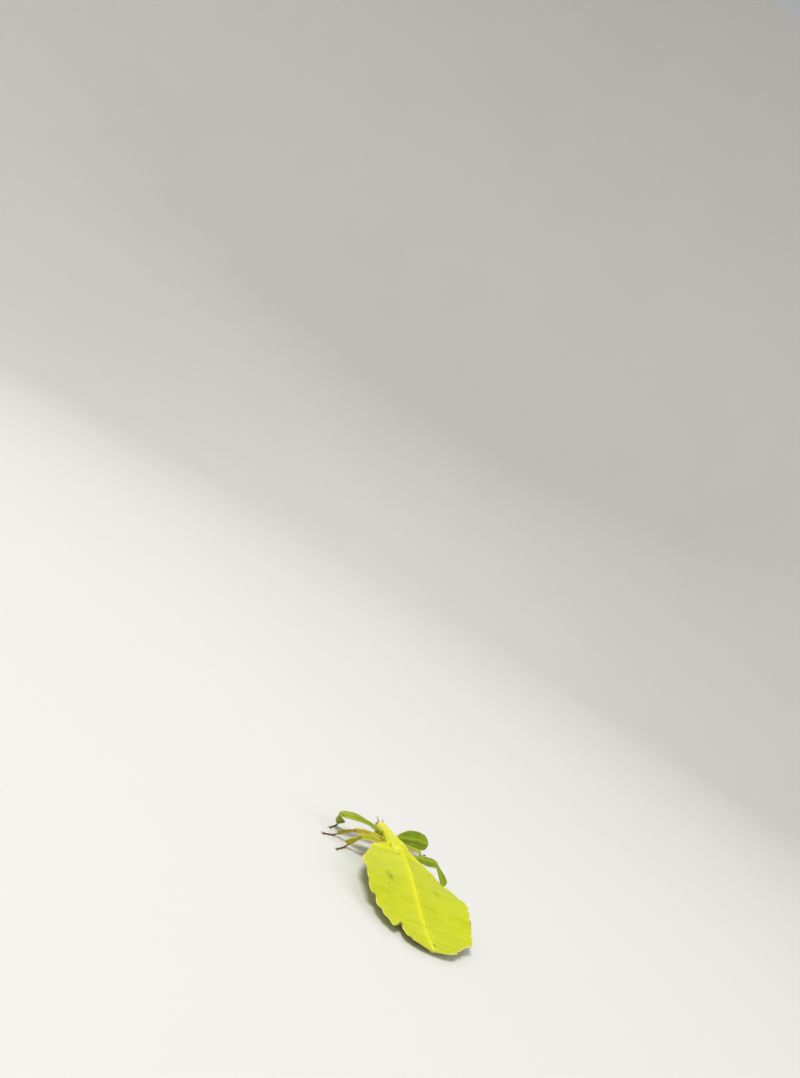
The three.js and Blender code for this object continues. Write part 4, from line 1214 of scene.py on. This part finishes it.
class BuildLegs(bpy.types.Operator):
    """Builds the six lobed legs with their brown feet and claws"""

    bl_idname = "leaf_insect.legs"
    bl_label = "Legs and feet"

    def execute(self, context):
        settings = context.scene.leaf_legs
        mottle, rim = shared("mottle", make_mottle_group), shared("rim", make_rim_group)
        # painted shade: the right legs and the right fore leg get a green darkened for the shade they lie in
        green = leg_material("leg_green_painted_shade", settings, settings.shaded_leg_colour[:], mottle, rim)
        # painted light: the left middle and hind legs get a lit copy of the leg colour
        lit = leg_material("leg_yellow_painted_light", settings, settings.lit_leg_colour[:], mottle, rim, 0.45)
        pale = leg_material("leg_pale", settings, settings.pale_leg_colour[:], mottle, rim, 0.2)
        # painted light and shade: the left fore leg gets the shaded green lifted by a fifth of the lit colour
        between = [0.8 * a + 0.2 * b for a, b in zip(settings.shaded_leg_colour, settings.lit_leg_colour)]
        fore = leg_material("leg_lime_part_lit", settings, between, mottle, rim)
        cuticle = {"left_fore": fore, "left_mid": lit, "left_hind": lit, "right_mid": pale}
        brown = [settings.foot_colour[:], [c * 0.55 for c in settings.foot_colour]]
        foot = simple_cuticle("foot_cuticle", brown, 700.0, mottle, 0.40, 0.04, 0.12)
        horn = [(0.05, 0.022, 0.01), (0.10, 0.045, 0.015)]
        claw = simple_cuticle("claw_horn", horn, 900.0, mottle, 0.26, 0.02, 0.3, 0.0)
        for word, leg in LEGS.items():
            shells = leg_shells(leg, settings.tooth_height / MM)
            skin = mesh_object(f"{word}_leg", shells, cuticle.get(word, green))
            finish_piece(skin, "leg", f"{word}_coxa", f"{word}_femur", f"{word}_tibia")
            pads, claws = foot_shells(leg)
            sole = mesh_object(f"{word}_foot", pads, foot)
            finish_piece(sole, "foot", f"{word}_tarsus")
            hooks = mesh_object(f"{word}_claws", claws, claw)
            finish_piece(hooks, "foot")
            SKINS[f"{word}_foot"] = sole
        return {"FINISHED"}


class BuildTrim(bpy.types.Operator):
    """Scatters grains over the thorax and midrib and hairs over the feet and feelers"""

    bl_idname = "leaf_insect.trim"
    bl_label = "Grains and hairs"

    def execute(self, context):
        settings = context.scene.leaf_trim
        mottle = shared("mottle", make_mottle_group)
        yellows = [(0.84, 0.82, 0.12), (0.76, 0.76, 0.06)]
        browns = [(0.30, 0.16, 0.07), (0.20, 0.10, 0.04)]
        grain = simple_cuticle("grain_cuticle", yellows, 700.0, mottle, 0.45, 0.02)
        hair = simple_cuticle("hair_horn", browns, 900.0, mottle, 0.45, 0.01, 0.0, 0.0)
        grains = scattered("body_grains", SKINS["body"], scatter_tree("scatter_grains", False), grain,
                           Density=settings.grain_density, Size=settings.grain_radius,
                           Seed=settings.seed, Weight="grain")
        finish_piece(grains, "thorax")
        hairs = scatter_tree("scatter_hairs", True)
        for key, skin in SKINS.items():
            if key == "body":
                continue
            heights = np.empty(3 * len(skin.data.vertices), np.float32)
            skin.data.vertices.foreach_get("co", heights)
            layer = skin.data.attributes.new("hairy", "FLOAT", "POINT")
            layer.data.foreach_set("value", smooth(heights[2::3] / MM, 0.22, 0.5).astype(np.float32))
            coat = scattered(f"{key}_hairs", skin, hairs, hair, Density=settings.hair_density,
                             Size=settings.hair_length, Seed=settings.seed + 1, Weight="hairy")
            finish_piece(coat, "feeler" if key.startswith("feeler") else "foot")
        return {"FINISHED"}


class BuildStage(bpy.types.Operator):
    """Sets the seamless floor, the soft lights and the camera"""

    bl_idname = "leaf_insect.stage"
    bl_label = "Stage"

    def execute(self, context):
        settings = context.scene.leaf_stage
        scene = context.scene
        material, tree, shader, place = new_material("pale_paper", 0.85, 0.2)
        tint = settings.floor_colour[:]
        cloud = clouds(tree, place, 3.0, 0.3, 0.7, detail=2.0)
        colour = blend_colour(tree, cloud, tint, [c * 0.985 for c in tint])
        feed(tree, shader, {"Base Color": colour})
        profile = [(0.002, 0), (0.25, 0), (0.6, 0), (1.0, 0), (FLOOR_RADIUS, 0)]
        profile += [(FLOOR_RADIUS + WALL_BEND * math.sin(a), WALL_BEND * (1 - math.cos(a)))
                    for a in np.linspace(0.1, QUARTER_TURN, 14)]
        profile += [(FLOOR_RADIUS + WALL_BEND, WALL_HEIGHT)]
        around = np.linspace(0, 2 * math.pi, 96, endpoint=False)
        points = [(r * math.cos(a), r * math.sin(a), z) for r, z in profile for a in around]
        count = len(around)
        faces = []
        for i in range(len(profile) - 1):
            inner, outer = i * count, (i + 1) * count
            faces += [(inner + j, outer + j, outer + (j + 1) % count, inner + (j + 1) % count)
                      for j in range(count)]
        faces.append(tuple(range(count)))
        mesh = bpy.data.meshes.new("seamless_floor")
        mesh.from_pydata(points, [], faces)
        mesh.polygons.foreach_set("use_smooth", np.ones(len(mesh.polygons), bool))
        mesh.materials.append(material)
        floor = bpy.data.objects.new("seamless_floor", mesh)
        scene.collection.objects.link(floor)

        lamps = [
            ("key_light", (-0.95, -0.35, 1.95), 0.95, settings.key_power, (1.0, 0.99, 0.965)),
            ("fill_light", (1.5, -1.2, 1.3), 1.5, settings.fill_power, (0.97, 0.98, 1.0)),
            ("back_light", (0.5, 1.7, 1.5), 1.3, settings.fill_power, (1.0, 1.0, 0.98)),
        ]
        for name, spot_at, size, power, colour in lamps:
            lamp = bpy.data.lights.new(name, "AREA")
            lamp.shape = "DISK"
            lamp.size = size
            lamp.energy = power
            lamp.color = colour
            holder = bpy.data.objects.new(name, lamp)
            scene.collection.objects.link(holder)
            holder.visible_camera = False
            holder.location = spot_at
            holder.rotation_euler = (-Vector(spot_at)).to_track_quat("-Z", "Y").to_euler()
        world = bpy.data.worlds.new("studio")
        scene.world = world
        world.use_nodes = True
        sky = world.node_tree.nodes["Background"]
        feed(world.node_tree, sky, {"Color": (0.95, 0.97, 1.0), "Strength": settings.world_strength})
        scene.view_settings.view_transform = "Standard"

        data = bpy.data.cameras.new("camera")
        data.lens = LENS
        data.sensor_width = 36.0
        data.sensor_fit = "AUTO"
        data.clip_start = 0.005
        camera = bpy.data.objects.new("camera", data)
        scene.collection.objects.link(camera)
        right = Vector(CAMERA_RIGHT).normalized()
        back = Vector(CAMERA_BACK)
        back = (back - right * back.dot(right)).normalized()
        upward = back.cross(right)
        turn = Matrix((right, upward, back)).transposed().to_4x4()
        where = (np.array(CAMERA_AT) + PLACE) * MM
        camera.matrix_world = Matrix.Translation(Vector(where.tolist())) @ turn
        scene.camera = camera
        return {"FINISHED"}


class LeafInsectPanel(bpy.types.Panel):
    """Lists the insect's pieces and their settings"""

    bl_idname = "VIEW3D_PT_leaf_insect"
    bl_label = "Leaf Insect"
    bl_space_type = "VIEW_3D"
    bl_region_type = "UI"
    bl_category = "Leaf Insect"

    def draw(self, context):
        layout = self.layout
        for label, group_name, operators in PANEL_ROWS:
            box = layout.box()
            box.label(text=label)
            group = getattr(context.scene, group_name)
            for key in group.__annotations__:
                box.prop(group, key)
            for operator in operators:
                box.operator(operator)


PANEL_ROWS = [
    ("Body", "leaf_body", ["leaf_insect.body", "leaf_insect.wing_buds", "leaf_insect.head"]),
    ("Legs", "leaf_legs", ["leaf_insect.legs"]),
    ("Grains and hairs", "leaf_trim", ["leaf_insect.trim"]),
    ("Stage", "leaf_stage", ["leaf_insect.stage"]),
]
SETTINGS = {
    "leaf_body": BodySettings, "leaf_legs": LegSettings, "leaf_trim": TrimSettings, "leaf_stage": StageSettings,
}
CLASSES = (
    BodySettings, LegSettings, TrimSettings, StageSettings, BuildBody, BuildWingBuds, BuildHead, BuildLegs,
    BuildTrim, BuildStage, LeafInsectPanel,
)


def register():
    for item in CLASSES:
        bpy.utils.register_class(item)
    for name, group in SETTINGS.items():
        setattr(bpy.types.Scene, name, PointerProperty(type=group))


def unregister():
    for name in SETTINGS:
        delattr(bpy.types.Scene, name)
    for item in reversed(CLASSES):
        bpy.utils.unregister_class(item)


def main():
    register()
    bpy.ops.leaf_insect.stage()
    bpy.ops.leaf_insect.body()
    bpy.ops.leaf_insect.wing_buds()
    bpy.ops.leaf_insect.head()
    bpy.ops.leaf_insect.legs()
    bpy.ops.leaf_insect.trim()


if __name__ == "__main__":
    main()
